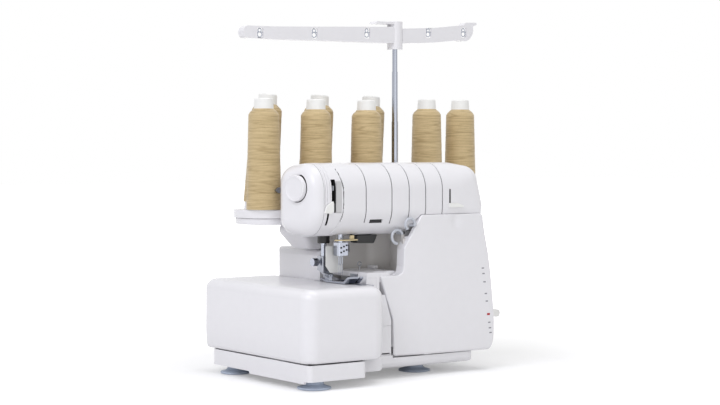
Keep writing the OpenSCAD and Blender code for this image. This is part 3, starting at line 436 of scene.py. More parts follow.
def ball(x, y, z, r):
    """Points on a ball."""
    turns = [2 * math.pi * k / BALL_STEPS for k in range(BALL_STEPS)]
    points = [(x, y, z + r), (x, y, z - r)]
    for a in turns[1:BALL_STEPS // 2]:
        points += [(x + r * math.sin(a) * math.cos(b), y + r * math.sin(a) * math.sin(b), z + r * math.cos(a))
                   for b in turns]
    return points


def arc(centre, radius, first, last, steps):
    """Points on an arc, its angles in degrees."""
    angles = [math.radians(first + (last - first) * i / steps) for i in range(steps + 1)]
    return [(centre[0] + radius * math.cos(a), centre[1] + radius * math.sin(a)) for a in angles]


def head_profile(inset, front_steps, back_steps):
    """The head's outline in Y and Z, a distance inside its skin."""
    front, back = FRONT_ARC - inset, BACK_ARC - inset
    return (arc((HEAD_FRONT + FRONT_ARC, HEAD_TOP - FRONT_ARC), front, 180, 90, front_steps)
            + arc((HEAD_BACK - BACK_ARC, HEAD_TOP - BACK_ARC), back, 90, 0, back_steps)
            + arc((HEAD_BACK - BACK_ARC, HEAD_LOW + BACK_ARC), back, 0, -90, back_steps)
            + arc((HEAD_FRONT + FRONT_ARC, HEAD_LOW + FRONT_ARC), front, 270, 180, front_steps))


def front_ball(x, r, z, degrees):
    """A ball that touches the front curve from inside."""
    a, room = math.radians(degrees), FRONT_ARC - r
    return ball(x, HEAD_FRONT + FRONT_ARC + room * math.cos(a), z + room * math.sin(a), r)


def head_hull():
    """The head's skin, as a tree that rays can be cast at."""
    upper, lower = HEAD_TOP - FRONT_ARC, HEAD_LOW + FRONT_ARC
    points = []
    for degrees in range(90, 181, BALL_TURN):
        points += front_ball(50.4, 16.4, upper, degrees) + front_ball(50.4, 16.4, lower, degrees + 90)
    for z in (HEAD_LOW + 26, HEAD_TOP - 28):
        points += ball(52, 100, z, 26)
    points += [(x, y, z) for x in (75, HEAD_RIGHT - 43) for y, z in head_profile(0, 64, 64)]
    points += front_ball(HEAD_RIGHT - 24.5, 24, upper, 135)
    for degrees in range(180, 226, BALL_TURN):
        points += front_ball(HEAD_RIGHT - 14, 14, lower, degrees)
    points += ball(HEAD_RIGHT - 26, HEAD_BACK - 27, HEAD_TOP - 27, 26)
    points += ball(HEAD_RIGHT - 24, HEAD_BACK - 25, HEAD_LOW + 25, 24)
    hull = bmesh.new()
    for p in points:
        hull.verts.new(p)
    found = bmesh.ops.convex_hull(hull, input=hull.verts)
    loose = [g for g in found["geom_interior"] + found["geom_unused"] if isinstance(g, bmesh.types.BMVert)]
    bmesh.ops.delete(hull, geom=list(dict.fromkeys(loose)), context="VERTS")
    tree = BVHTree.FromBMesh(hull)
    print("hull of", len(hull.verts), "points")
    hull.free()
    return tree


HEAD = head_hull()

# %% [markdown]
# Each ring is the same list of directions, seen from the middle line. Between the ends a ring lies across the
# head; over each end the rings close like the parallels of a globe, with many near the rim, where the
# surface turns quickly, and few on the flat end.

# %% Rings of the head
def spaced(first, last, steps):
    """Evenly spaced values from the first up to, but without, the last."""
    return [first + (last - first) * i / steps for i in range(steps)]


def ring_directions():
    """Directions from the head's middle line to evenly spread points of its profile."""
    front_top, back_top = HEAD_TOP - FRONT_ARC, HEAD_TOP - BACK_ARC
    front_low, back_low = HEAD_LOW + FRONT_ARC, HEAD_LOW + BACK_ARC
    near, far = HEAD_FRONT + FRONT_ARC, HEAD_BACK - BACK_ARC
    outline = arc((near, front_top), FRONT_ARC, 180, 90, 20)[:-1]
    outline += [(y, HEAD_TOP) for y in spaced(near, far, 5)]
    outline += arc((far, back_top), BACK_ARC, 90, 0, 12)[:-1]
    outline += [(HEAD_BACK, z) for z in spaced(back_top, back_low, 6)]
    outline += arc((far, back_low), BACK_ARC, 0, -90, 12)[:-1]
    outline += [(y, HEAD_LOW) for y in spaced(far, near, 5)]
    outline += arc((near, front_low), FRONT_ARC, 270, 180, 20)[:-1]
    outline += [(HEAD_FRONT, z) for z in spaced(front_low, front_top, 5)]
    return [Vector((0, y - MIDDLE_Y, z - MIDDLE_Z)).normalized() for y, z in outline]


DIRECTIONS = ring_directions()


def head_ring(x, tilt=90.0, side=1, dent=None):
    """One ring of points on the head: tilt is the angle from the head's length, in degrees."""
    points, a = [], math.radians(tilt)
    for d in DIRECTIONS:
        ray = d * math.sin(a) + Vector((side * math.cos(a), 0, 0))
        hit, normal, _, _ = HEAD.ray_cast(Vector((x, MIDDLE_Y, MIDDLE_Z)), ray)
        if normal.dot(ray) < 0:
            normal = -normal
        points.append(hit - normal * (dent(hit) if dent else 0.0))
    return points


GROOVES = ((121, 219), (165, 216), (195, 216), (224, 227), (254, 227))
FINE_GROOVES = ((53.6, 238), (57, 238), (61.4, 248))
GROOVE_DEPTH, FINE_DEPTH = 2.5, 1.3
GROOVE_SIDE = ((-0.6, 0.0), (-0.15, 0.07), (0.15, 0.5), (0.4, 1.0), (1.2, 1.0), (1.45, 0.5), (1.75, 0.07),
               (2.2, 0.0))
FINE_SIDE = ((-0.3, 0.0), (0.0, 0.15), (0.3, 1.0), (0.6, 1.0), (0.9, 0.15), (1.2, 0.0))
GROOVE_END_Y, SEAM_END_Y, FADE_LENGTH = 104, 96, 10.0


def ramp(value, length):
    """0 below 0, 1 above a length, and even between."""
    return min(max(value / length, 0.0), 1.0)


def groove_dent(depth, low):
    """How deep a groove is at a point: its lower end rises to the skin, and it fades out over the top."""
    def dent(p):
        rise = ramp(p.z - low + 1.0, 3.0)
        if p.z < MIDDLE_Z and p.y > HEAD_FRONT + FRONT_ARC:
            rise = 0.0
        return depth * rise * ramp(GROOVE_END_Y - p.y, FADE_LENGTH)
    return dent


SEAM_HEIGHTS, SEAM_AT_X = (196, 213, 230, 247, 264, 280, 300), (72, 78, 83, 84.4, 84, 81.6, 79)
SEAM_DEPTH, SEAM_HALF = 1.5, 0.9
SEAM_FROM, SEAM_STEP, SEAM_RINGS = 70.4, 0.45, 34


def seam_dent(p):
    """How deep the S-shaped seam of the face side is at a point."""
    off = abs(p.x - np.interp(p.z, SEAM_HEIGHTS, SEAM_AT_X)) / SEAM_HALF
    return SEAM_DEPTH * ramp(SEAM_END_Y - p.y, FADE_LENGTH) * max(0.0, 1 - off * off)


RING_STEP, RING_ROOM = 6.0, 1.2


def head_rings(start, end):
    """Rings of the head's middle part, with its grooves and its seam."""
    rings = {SEAM_FROM + SEAM_STEP * i: seam_dent for i in range(SEAM_RINGS)}
    for lines, sides, deep in ((GROOVES, GROOVE_SIDE, GROOVE_DEPTH), (FINE_GROOVES, FINE_SIDE, FINE_DEPTH)):
        for x, low in lines:
            for offset, share in sides:
                rings[x + offset] = groove_dent(deep * share, low) if share else None
    busy = sorted(rings)
    count = int((end - start) / RING_STEP)
    for i in range(count + 1):
        x = start + (end - start) * i / count
        if all(abs(x - b) > RING_ROOM for b in busy) or i == 0:
            rings[x] = None
    return [head_ring(x, dent=rings[x]) for x in sorted(rings)]


CAP_TILTS = [90 - 30 * i / 10 for i in range(1, 11)] + [60 - 56 * i / 12 for i in range(1, 13)]


def head_part(name, rings):
    """A closed skin over rings."""
    points = [tuple(p) for ring in rings for p in ring]
    return face_outward(build(name, points, skin_faces(len(rings), len(DIRECTIONS))))


ARM_LEFT, ARM_RIGHT, FACE_RIGHT = FACE_SEAM + 0.25, 290, FACE_SEAM - 0.15
arm = head_part("arm_cover_moulded",
                head_rings(ARM_LEFT, ARM_RIGHT) + [head_ring(ARM_RIGHT, t, 1) for t in CAP_TILTS])
face = head_part("face_cover_moulded",
                 [head_ring(FACE_RIGHT)] + [head_ring(FACE_RIGHT, t, -1) for t in CAP_TILTS])
print("head skin:", len(arm.data.polygons), "and", len(face.data.polygons), "faces")

# %% [markdown]
# The head is hollow. Its wall is 3 mm thick along the middle, and thicker in the rounded ends. The room inside,
# the slots for the levers, the window and the openings for the column and the needle bar are cut out exactly,
# one after the other.


# %% Openings of the head
def cover_corner(more, start, end):
    """The head's lower right corner, over which the looper cover's upper part lies."""
    return prism("corner", [(217 - more, 227.4 + more), (354, 227.4 + more), (354, 180), (182 - more, 180),
                            (189.5 - more, 199)], "y", start, end)


def carve_each(obj, cutters):
    """Cuts the cutters out of an object one after the other, and removes them."""
    for cutter in cutters:
        cut = obj.modifiers.new("carve", "BOOLEAN")
        cut.operation, cut.solver, cut.object = "DIFFERENCE", "EXACT", cutter
    keep_modifiers(obj)
    for cutter in cutters:
        bpy.data.objects.remove(cutter)
    return obj


WALL, END_WALL, COVER_BACK = 3, 12, 46.4


def room(inset, start, end, beside_cover=True):
    """A part of the hollow; beside the looper cover it leaves a wall behind it."""
    made = prism("room", head_profile(inset, 10, 8), "x", start, end)
    return carve_each(made, [cover_corner(WALL, 0, COVER_BACK + WALL)]) if beside_cover else made


carve_each(arm, [
    room(END_WALL, 48, 75, False), room(WALL, 74, HEAD_RIGHT - 44),
    room(END_WALL, HEAD_RIGHT - 44.5, HEAD_RIGHT - 20),
    cover_corner(0, 20, COVER_BACK + 0.5),
    block("bars", (86, 66, 190), (122, 126, 209)),
    block("column", (218, 98, 190), (308, 127, 222)),
    block("takeup_slot", (64, 30, 246), (71, 57, 278)),
    block("takeup_foot", (68, 30, 233), (70.8, 53, 247)),
    block("plate_bed", (71.4, 30, 232.6), (80.4, 42.2, 276)),
    block("mode_slot", (266.7, 30, 239.6), (269.3, 53, 262.6)),
    block("threader_slot", (57, 30, 216), (60, 59, 244)),
    block("window", (130, 30, 217.4), (152, 46.5, 222.4)),
    prism("lifter_bore", arc((118, 262), 4.4, 0, 345, 23), "y", 124, 140)])
print("head cut out:", len(arm.data.polygons), "faces")

# %% [markdown]
# The pressure knob sits in a shallow round well of the left end, which turns forward a little. What lies deep
# inside the head, and the walls of the slots, grooves, seam and knob well, are painted with shade: they get a
# near-black material, so that the openings read as dark as they do on a closed machine.

# %% Knob well and painted shade inside
KNOB_AT, KNOB_TURN = Vector((30.6, 74, 266)), math.radians(11)


def knob_place(u, v, w):
    """A point of the knob's own frame: w stands out of the face cover, u goes up and v to the back."""
    out = Vector((-math.cos(KNOB_TURN), -math.sin(KNOB_TURN), 0))
    back = Vector((-math.sin(KNOB_TURN), math.cos(KNOB_TURN), 0))
    return KNOB_AT + out * w + back * v + Vector((0, 0, u))


def knob_turned(name, profile, steps=96):
    """Turns a profile of (radius, distance out of the cover) about the knob's axis."""
    points = []
    for r, w in profile:
        points += [tuple(knob_place(r * math.cos(a), r * math.sin(a), w))
                   for a in (2 * math.pi * i / steps for i in range(steps))]
    return smooth(face_outward(build(name, points, skin_faces(len(profile), steps))))


# The walls of these places are painted with shade.
SLOTS = [((63, 30, 232), (71.2, 57.5, 279)),    # the take-up lever's slot
         ((266, 30, 239), (270, 54, 263)),      # the stitch mode lever's slot
         ((129.5, 30, 217), (152.5, 47, 223)),  # the window
         ((-20, 50, 240), (48, 98, 292)),       # the knob's well
         ((80.4, 30, 196), (86.5, 96, 298))]    # the curved seam
SLOTS += [((x - 0.5, 30, 200), (x + 2.2, 96, 298)) for x, _ in GROOVES]
PAINTED_SHADE_BELOW_SKIN, PAINTED_SHADE_IN_SLOT = 2.0, 0.8


def in_a_slot(place):
    return any(all(low[i] < place[i] < high[i] for i in range(3)) for low, high in SLOTS)


def paint_shade_inside(obj):
    """Paints shade with a near-black material on faces deep under the head's skin, and on the slots' own walls.
    """
    obj.data.materials.clear()
    obj.data.materials.append(WHITE_ABS)
    obj.data.materials.append(PAINTED_SHADE_ABS)
    dark = 0
    for polygon in obj.data.polygons:
        place = (polygon.center - CORNER) / MM
        if HEAD.find_nearest(place)[3] > (PAINTED_SHADE_IN_SLOT if in_a_slot(place) else PAINTED_SHADE_BELOW_SKIN):
            polygon.material_index, dark = 1, dark + 1
    print(obj.name, "has", dark, "dark faces inside")


WELL_RADIUS, WELL_DEPTH, STEM_RADIUS = 19.3, 2.2, 4.1
carve_each(face, [room(END_WALL, 48, 75, False),
                  knob_turned("stem_hole", [(STEM_RADIUS, -30), (STEM_RADIUS, 20)], 32),
                  knob_turned("knob_well", [(WELL_RADIUS, -WELL_DEPTH), (WELL_RADIUS, 9)])])
for piece, node in ((arm, "arm_cover"), (face, "face_cover")):
    smooth(piece, 32)
    paint_shade_inside(piece)
    keep_flat(piece)
    finish_piece(piece, WHITE_ABS, "machine_body", "white_abs", node)

# %% [markdown]
# The cloth box is a hollow extension of the bed: one moulding with a broad round top edge, round upright
# corners and sides that draw in a little at the foot, as a mould needs. It is lofted from rings, each one a
# rounded rectangle drawn further in, so that the top edge is a true quarter round. The hollow and the three
# places where the machine reaches in are cut out afterwards.

# %% Cloth box
BOX_SIDES, BOX_CORNER, BOX_EDGE, BED = ((-4, 127), (-2, 272)), 20, 15, 134
BOX_FOOT = [(36, 4.4), (36.5, 3.5), (37.6, 2.4), (39.5, 1.6), (42, 1.05), (50, 0.6), (61, 0.0)]
HOLLOW_FOOT = [(26, 6.4), (61, 3.0)]


def box_loft(name, foot, inset, steps):
    """Rings of rounded rectangles from the foot to the flat top, a distance inside the box's skin."""
    (left, right), (front, back) = BOX_SIDES
    turns = [math.pi / 2 * i / steps for i in range(steps + 1)]
    radius = BOX_EDGE - inset
    rows = foot + [(BED - BOX_EDGE + radius * math.sin(a), BOX_EDGE - radius * math.cos(a)) for a in turns]
    points = []
    for z, inside in rows:
        corners = [(left + inside, front + inside), (right - inside, front + inside),
                   (right - inside, back - inside), (left + inside, back - inside)]
        points += lift(rounded(corners, BOX_CORNER - inside, steps=12), "z", z)
    return build(name, points, skin_faces(len(rows), len(points) // len(rows)))


cloth_box = carve_each(box_loft("cloth_box_moulded", BOX_FOOT, 0, 12), [
    box_loft("hollow", HOLLOW_FOOT, 3, 6),
    block("plate_bed", (102, 23.6, 114), (128, 141, 135)),
    block("open_side", (123, 23.6, 35), (128, 273, 135)),
    block("rear_bed", (112, 139, 35), (128, 273, 135))])
smooth(cloth_box, 40)
soften_edges(cloth_box, 0.4, 2, 50)
finish_piece(cloth_box, WHITE_ABS, "cloth_box", "white_abs", "cloth_box")

# %% [markdown]
# The looper cover is one thin moulding whose front turns away a little on its left third, along a soft crease.
# Its edges have different roundings: large at the right, where a hand slides along it, small at the top and
# round the throat. So its outline is drawn in front view, and its rim is a stack of that outline drawn further
# and further in, by its own edge radius at each point. The flat front is then divided into a grid, and every
# point moves back by the depth of the crease and of the thumb's dimple.

# %% Looper cover
EDGE_POINTS = [(346.5, 34), (349.5, 42), (350.8, 52), (351.2, 70), (350.2, 88), (347.2, 115), (344.2, 142),
               (339.7, 169), (334.2, 193), (330.8, 210), (327.3, 227)]
COVER_CORNERS = [((171, 31), 5), ((341, 29.6), 8)] + [(p, 30) for p in EDGE_POINTS[:-1]]
COVER_CORNERS += [(EDGE_POINTS[-1], 7), ((217, 227), 5), ((188, 181), 6), ((187.5, 156), 6), ((185, 147), 4),
                  ((178, 143.5), 4), ((150, 143), 3), ((152, 135), 3), ((170, 82), 20)]
COVER_FRONT, CREASE_X, CREASE_SLOPE, CREASE_SOFT = 38, 225, 6.5 / 75, 3.0
DIMPLE_AT, DIMPLE_SIZE, DIMPLE_DEPTH = (277, 219), (7.0, 9.0), 2.2
RIM_STEPS, RIM_BLEND, BEFORE = 6, 12, 100       # the front is drawn 100 mm before the cover, then moved back


def cover_front(x, z):
    """How far back the front of the cover lies at a point of its front view."""
    bend = CREASE_SLOPE * CREASE_SOFT * math.log1p(math.exp(min((CREASE_X - x) / CREASE_SOFT, 60)))
    u, v = (x - DIMPLE_AT[0]) / DIMPLE_SIZE[0], (z - DIMPLE_AT[1]) / DIMPLE_SIZE[1]
    return COVER_FRONT + bend + DIMPLE_DEPTH * math.exp(-(u * u + v * v))


def resampled(outline, longest):
    """The same outline with more points, none further apart than a length."""
    points = []
    for a, b in zip(outline, outline[1:] + outline[:1]):
        count = max(1, math.ceil(math.dist(a, b) / longest))
        points += [(a[0] + (b[0] - a[0]) * i / count, a[1] + (b[1] - a[1]) * i / count) for i in range(count)]
    return points


def drawn_in(outline, distances):
    """A counter-clockwise outline, each point moved inward by its own distance."""
    moved, count = [], len(outline)
    for i in range(count):
        before, here, after = (Vector(outline[k % count]) for k in (i - 1, i, i + 1))
        first, second = (here - before).normalized(), (after - here).normalized()
        along = (first + second).normalized()
        reach = distances[i] / max(along.dot(first), 0.5)
        moved.append((here.x - along.y * reach, here.y + along.x * reach))
    return moved


def edge_radius(x, z):
    """The rounding of the cover's rim, by side."""
    if x > 300 and z < 222 and (z > 33 or x > 343):
        return 5.5
    return 3.9 if z < 34 else 1.6


def blended(values, steps):
    """The same ring of values with its steps smoothed."""
    for _ in range(steps):
        values = [(values[i - 1] + 2 * v + values[(i + 1) % len(values)]) / 4 for i, v in enumerate(values)]
    return values


def cover_solid(name, inset, back, lines_x, lines_z):
    """The cover as one solid, a distance inside its skin, its front divided along lines."""
    corners, radii = zip(*COVER_CORNERS)
    outline = resampled(counter_clockwise(rounded(corners, radii, 5)), 4.0)
    radius = blended([edge_radius(*p) for p in outline], RIM_BLEND)
    if inset:
        outline = drawn_in(outline, [inset] * len(outline))
        radius = [max(r - inset, 0.3) for r in radius]
    rows = [[(x, back, z) for x, z in outline]]
    for a in [math.pi / 2 * i / RIM_STEPS for i in range(RIM_STEPS + 1)]:
        ring = drawn_in(outline, [r * (1 - math.cos(a)) for r in radius])
        rows.append([(x, inset + r * (1 - math.sin(a)) - BEFORE, z) for (x, z), r in zip(ring, radius)])
    made = build(name, [p for row in rows for p in row], skin_faces(len(rows), len(outline), flip=True))
    mesh = bmesh.new()
    mesh.from_mesh(made.data)
    for axis, lines in ((Vector((1, 0, 0)), lines_x), (Vector((0, 0, 1)), lines_z)):
        for line in lines:
            bmesh.ops.bisect_plane(mesh, geom=mesh.verts[:] + mesh.edges[:] + mesh.faces[:],
                                   plane_co=at(line, 0, line), plane_no=axis, dist=1e-7)
    for v in mesh.verts:
        x, y, z = (v.co - CORNER) / MM
        if y < 0:
            v.co.y += (BEFORE + cover_front(x, z)) * MM
    bmesh.ops.recalc_face_normals(mesh, faces=mesh.faces)
    mesh.to_mesh(made.data)
    mesh.free()
    return made


DIMPLE_STEP = 2.5
DIMPLE_X = [DIMPLE_AT[0] + DIMPLE_STEP * i for i in range(-8, 9)]
DIMPLE_Z = [DIMPLE_AT[1] + DIMPLE_STEP * i for i in range(-9, 4)]
CREASE_LINES = [216, 219, 222, 228, 231, 234]
FRONT_X = [x for x in range(155, 350, 10) if not 256 < x < 298] + CREASE_LINES + DIMPLE_X
FRONT_Z = list(range(35, 196, 10)) + DIMPLE_Z
looper_cover = cover_solid("looper_cover_moulded", 0, 58, FRONT_X, FRONT_Z)


HINGE_Y, HINGE_Z, ROD_STEPS = 42.2, 33.8, 32
EARS_AT, LUGS_AT, LUG_WIDTH = (240, 300), (222, 282), 12


def rod(name, start, end, diameter):
    """A round rod on the hinge's axis."""
    turns = [2 * math.pi * (i + 0.5) / ROD_STEPS for i in range(ROD_STEPS)]
    return prism(name, [(HINGE_Y + diameter / 2 * math.cos(a), HINGE_Z + diameter / 2 * math.sin(a))
                        for a in turns], "x", start, end)


cutters = [cover_solid("hollow", WALL, 62, sorted(CREASE_LINES + [CREASE_X]) + DIMPLE_X[::2], DIMPLE_Z[::2]),
           block("bottom", (150, 48.6, 22), (360, 60, 44)),
           prism("bottom_behind", [(140, 48.2), (225, 41), (348.4, 41), (348.4, 60), (140, 60)], "z", 22, 44),
           block("head_corner", (180, 46.4, 197), (345, 60, 240)),
           block("throat_side", (140, 47.6, 134.6), (207, 60, 240)),
           rod("rod_groove", 217, 321.4, 3.4)]
cutters += [rod("ear_pocket", x - 5.5, x + 4.5, 6) for x in EARS_AT]
carve_each(looper_cover, cutters)
lugs = [carve_each(rod("lug", x, x + LUG_WIDTH, 7.6), [rod("bore", x - 1, x + LUG_WIDTH + 1, 3.0)])
        for x in LUGS_AT]
looper_cover = join("looper_cover_moulded", [looper_cover] + lugs)
smooth(looper_cover, 40)
keep_flat(looper_cover)
finish_piece(looper_cover, WHITE_ABS, "looper_cover", "white_abs", "looper_cover")

# %% [markdown]
# A cone's thread is a real relief here, not only a pattern: the windings lie in wavy, nearly level turns, and
# the gaps between them show as darker lines 4 to 7 mm apart with finer ones between, from the relief's own shade
# and from painted shade. Each row of points is pushed in where a slow noise, stretched round the cone, crosses
# zero. The same value is kept on the mesh as an attribute, so the thread's colour is painted darker, as painted
# shade, exactly where the gap is.

# %% Wound thread on the cones
BACK_LEAN = math.radians(4.7)
CONES = ([((x, 166, 234), 0.0) for x in (36, 124, 213)] + [((x, 214, 242), BACK_LEAN) for x in (61, 151, 244)]
         + [((x, 186, 238), 0.0) for x in (340, 405)])
CONE_PROFILE = [(20.2, 3.2), (22.85, 2.0), (22.95, 0.7), (23.95, 0.7), (24.75, 2.6), (24.15, 24), (22.1, 110),
                (21.5, 133), (19.5, 136.5), (14.0, 141.5), (12.4, 140.0), (12.2, 135.6)]
WOUND_FROM, WOUND_TO, TURN_STEP, WINDING_STEPS, GAP_DEPTH = 2.6, 141.5, 0.9, 84, 0.35
LAYERS = ((5.2, 75, 0.09, 1.0), (2.0, 45, 0.14, 0.5))    # pitch, length round the cone, gap's width, its share
SEED_STEP = 7.3


def winding_gap(angle, radius, height, seed):
    """How much of a gap there is between the windings at a point of the cone, from 0 to 1."""
    gap, x, y = 0.0, math.cos(angle) * radius, math.sin(angle) * radius
    for pitch, length, width, share in LAYERS:
        place = Vector((x / length, y / length, height / pitch + seed))
        gap = max(gap, share * math.exp(-(noise.noise(place) / width) ** 2))
    return gap


def wound_rows():
    """The cone's profile, with a row for every part of a turn between its foot and its shoulder."""
    rows = []
    for (r0, h0), (r1, h1) in zip(CONE_PROFILE, CONE_PROFILE[1:]):
        wound = WOUND_FROM <= h0 and h1 <= WOUND_TO and h1 > h0
        count = max(1, round((h1 - h0) / TURN_STEP)) if wound else 1
        rows += [(r0 + (r1 - r0) * i / count, h0 + (h1 - h0) * i / count, wound and (i > 0 or h0 > WOUND_FROM))
                 for i in range(count)]
    return rows + [CONE_PROFILE[-1] + (False,)]


def wound_cone(foot, lean, seed):
    """One cone's thread, leaning to the right, with the gap value on each point."""
    points, gaps, rows = [], [], wound_rows()
    turns = [2 * math.pi * i / WINDING_STEPS for i in range(WINDING_STEPS)]
    for r, h, wound in rows:
        for a in turns:
            gap = winding_gap(a, r, h, seed) if wound else 0.0
            inner = r - GAP_DEPTH * gap
            x = inner * math.cos(a)
            points.append((foot[0] + x * math.cos(lean) + h * math.sin(lean), foot[1] + inner * math.sin(a),
                           foot[2] - x * math.sin(lean) + h * math.cos(lean)))
            gaps.append(gap)
    faces = skin_faces(len(rows), WINDING_STEPS, closed=False)
    last = (len(rows) - 1) * WINDING_STEPS
    for i in range(WINDING_STEPS):
        j = (i + 1) % WINDING_STEPS
        faces.append((last + i, last + j, j, i))
    made = build("cone", points, faces)
    made.data.attributes.new("gap", "FLOAT", "POINT").data.foreach_set("value", gaps)
    return made


cones = [wound_cone(foot, lean, SEED_STEP * i) for i, (foot, lean) in enumerate(CONES)]
thread_cones = join("thread_wound", cones)
smooth(thread_cones, 50)
finish_piece(thread_cones, THREAD, "machine_body", "thread", "thread_cones")

# %% [markdown]
# Round the needles sit small mouldings and stampings. The white finger guard is a plate with a channel for the
# needles; a black nylon bar carries the thread to the left; a brass plate with a stem leads it to the
# needle bar. Each is an outline carried through its thickness, with the small edge radius of its own process:
# broad on a moulding, narrow on a stamping.

# %% Guards and guides at the needles
guard = carve_each(prism("finger_guard_moulded", rounded(
    [(90.3, 185.1), (90.3, 157), (97.5, 147.5), (117.3, 147.5), (117.3, 205), (109, 205), (109, 185.1)],
    [1.5, 3, 2, 1.5, 0.5, 0.5, 1.5], 4), "y", 91.5, 93.3),
    [block("channel", (105.6, 91, 146), (112.4, 92.3, 178.6))])
soften_edges(guard, 0.25, 2)
finish_piece(guard, CORE_PLASTIC, "machine_body", "core_plastic", "finger_guard")
black_guide = prism("black_guide_moulded", rounded([(126, 199.8), (161, 199.8), (155, 188), (126, 189)],
                                                   [0.5, 1, 2.5, 1.5], 4), "y", 68, 84, 0.5)
finish_piece(black_guide, BLACK_NYLON, "machine_body", "black_plastic", "black_guide")
brass_plate = prism("brass_plate", rounded([(83, 57), (104, 53), (119, 55), (119, 63), (104, 61), (84, 65)],
                                           [3, 2, 2, 2, 2, 3], 4), "z", 193.6, 195.4)
brass_stem = prism("brass_stem", rounded([(112, 62.4), (117.6, 62.4), (117.6, 66.8), (112, 66.8)], 0.8, 3), "z",
                   195.2, 200.6)
brass_guide = join("brass_guide_stamped", [brass_plate, brass_stem])
smooth(brass_guide, 40)
soften_edges(brass_guide, 0.3, 2)
finish_piece(brass_guide, BRASS, "machine_body", "brass", "brass_guide")

# %% [markdown]
# The deck reaches forward to the looper cover with a narrow apron, and carries a small raised tab at its right
# end. A thin wall closes its front, left of the apron. All three are mouldings with soft edges on the deck.

# %% Deck apron, tab and front wall
apron = prism("deck_apron", rounded([(146.6, 118), (150.4, 118), (150.4, 135.2), (168, 135.2), (168, 148.4),
                                     (146.6, 148.4)], [0.5, 0.5, 0.5, 1, 3, 0.5], 4), "y", 48.6, 61, 1.0)
finish_piece(apron, WHITE_ABS, "machine_body", "white_abs")
tab = prism("deck_tab", rounded([(184, 108), (192, 108), (192, 125), (184, 125)], 2, 5), "z", 148.4, 153.6, 1.6)
finish_piece(tab, WHITE_ABS, "machine_body", "white_abs")
deck_front = prism("deck_front", rounded([(128.1, 118.1), (142.9, 118.1), (142.9, 141.9), (128.1, 141.9)],
                                         0.5, 3), "y", 45.05, 46.6, 0.2)
finish_piece(deck_front, WHITE_ABS, "machine_body", "white_abs")

# %% [markdown]
# A row of dashes is pad printed along the cover's right edge, one for each setting, with a red one among them.
# The ink is a matt film a tenth of a millimetre thick. Each dash could be a decal, but a thin block keeps its
# place when the cover swings, and needs no picture.

# %% Scale marks
GREY_INK = dull("pad_printed_grey_ink", "#8F8F95", 0.6, 0.4, 1.5)
RED_INK = dull("pad_printed_red_ink", "#B32630", 0.6, 0.4, 1.5)
MARK_LEFT, MARK_TOP, MARK_LEAN, INK, INK_FOOT = 325, 148, 0.155, 0.12, 0.3
DASHES_AT, RED_AT, DASH_SIZE, RED_SIZE = (148, 140, 128, 111, 100, 69, 61, 54), 81, (4.4, 1.7), (5.2, 3.0)


def mark(name, z, width, height):
    """A printed dash on the cover's front, at height z."""
    left = MARK_LEFT + (MARK_TOP - z) * MARK_LEAN
    return block(name, (left, COVER_FRONT - INK, z - height / 2),
                 (left + width, COVER_FRONT + INK_FOOT, z + height / 2))


dashes = join("scale_marks", [mark(f"dash_{z}", z, *DASH_SIZE) for z in DASHES_AT])
finish_piece(dashes, GREY_INK, "looper_cover", "grey_abs")
finish_piece(mark("scale_red_mark", RED_AT, *RED_SIZE), RED_INK, "looper_cover", "grey_abs")

# %% [markdown]
# Many CAD parts already have the right shape. They keep their mesh, and get a finish and, where a
# moulded or machined edge would catch the light, a small rounded edge made by modifiers: the doubled points
# are merged, the flat faces stay flat, and sharp edges are rounded by a fraction of a millimetre.


# %% Finishes of the CAD parts
MERGE_MM, SMOOTH_DEGREES, CAD_EDGE_STEPS, CAD_EDGE_DEGREES = 0.004, 32, 2, 40


def smooth_by_angle():
    """Geometry nodes that merge doubled points and shade smoothly up to an angle."""
    group = bpy.data.node_groups.new("smooth_by_angle", "GeometryNodeTree")
    group.interface.new_socket("Geometry", in_out="INPUT", socket_type="NodeSocketGeometry")
    group.interface.new_socket("Geometry", in_out="OUTPUT", socket_type="NodeSocketGeometry")
    into = group.nodes.new("NodeGroupInput")
    merged = add(group, "GeometryNodeMergeByDistance", {"Geometry": into.outputs[0], "Distance": MERGE_MM * MM})
    all_smooth = add(group, "GeometryNodeSetShadeSmooth", {"Geometry": merged.outputs[0]}, domain="FACE")
    bend = group.nodes.new("GeometryNodeInputMeshEdgeAngle")
    sharp = add(group, "FunctionNodeCompare", {0: bend.outputs[0], 1: math.radians(SMOOTH_DEGREES)},
                operation="GREATER_THAN")
    creased = add(group, "GeometryNodeSetShadeSmooth", {"Geometry": all_smooth.outputs[0],
                                                        "Selection": sharp.outputs[0], "Shade Smooth": False},
                  domain="EDGE")
    out = group.nodes.new("NodeGroupOutput")
    group.links.new(creased.outputs[0], out.inputs[0])
    return group


SMOOTH_BY_ANGLE = smooth_by_angle()


def dress(node, material, edge_mm):
    """Gives a CAD part its finish and softly rounded edges; its own mesh stays as it is."""
    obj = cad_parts[node]
    obj.data.materials.clear()
    obj.data.materials.append(material)
    obj.modifiers.new("smooth_by_angle", "NODES").node_group = SMOOTH_BY_ANGLE
    if edge_mm:
        bevel_edges(obj, edge_mm, CAD_EDGE_STEPS, CAD_EDGE_DEGREES)
    keep_flat(obj)


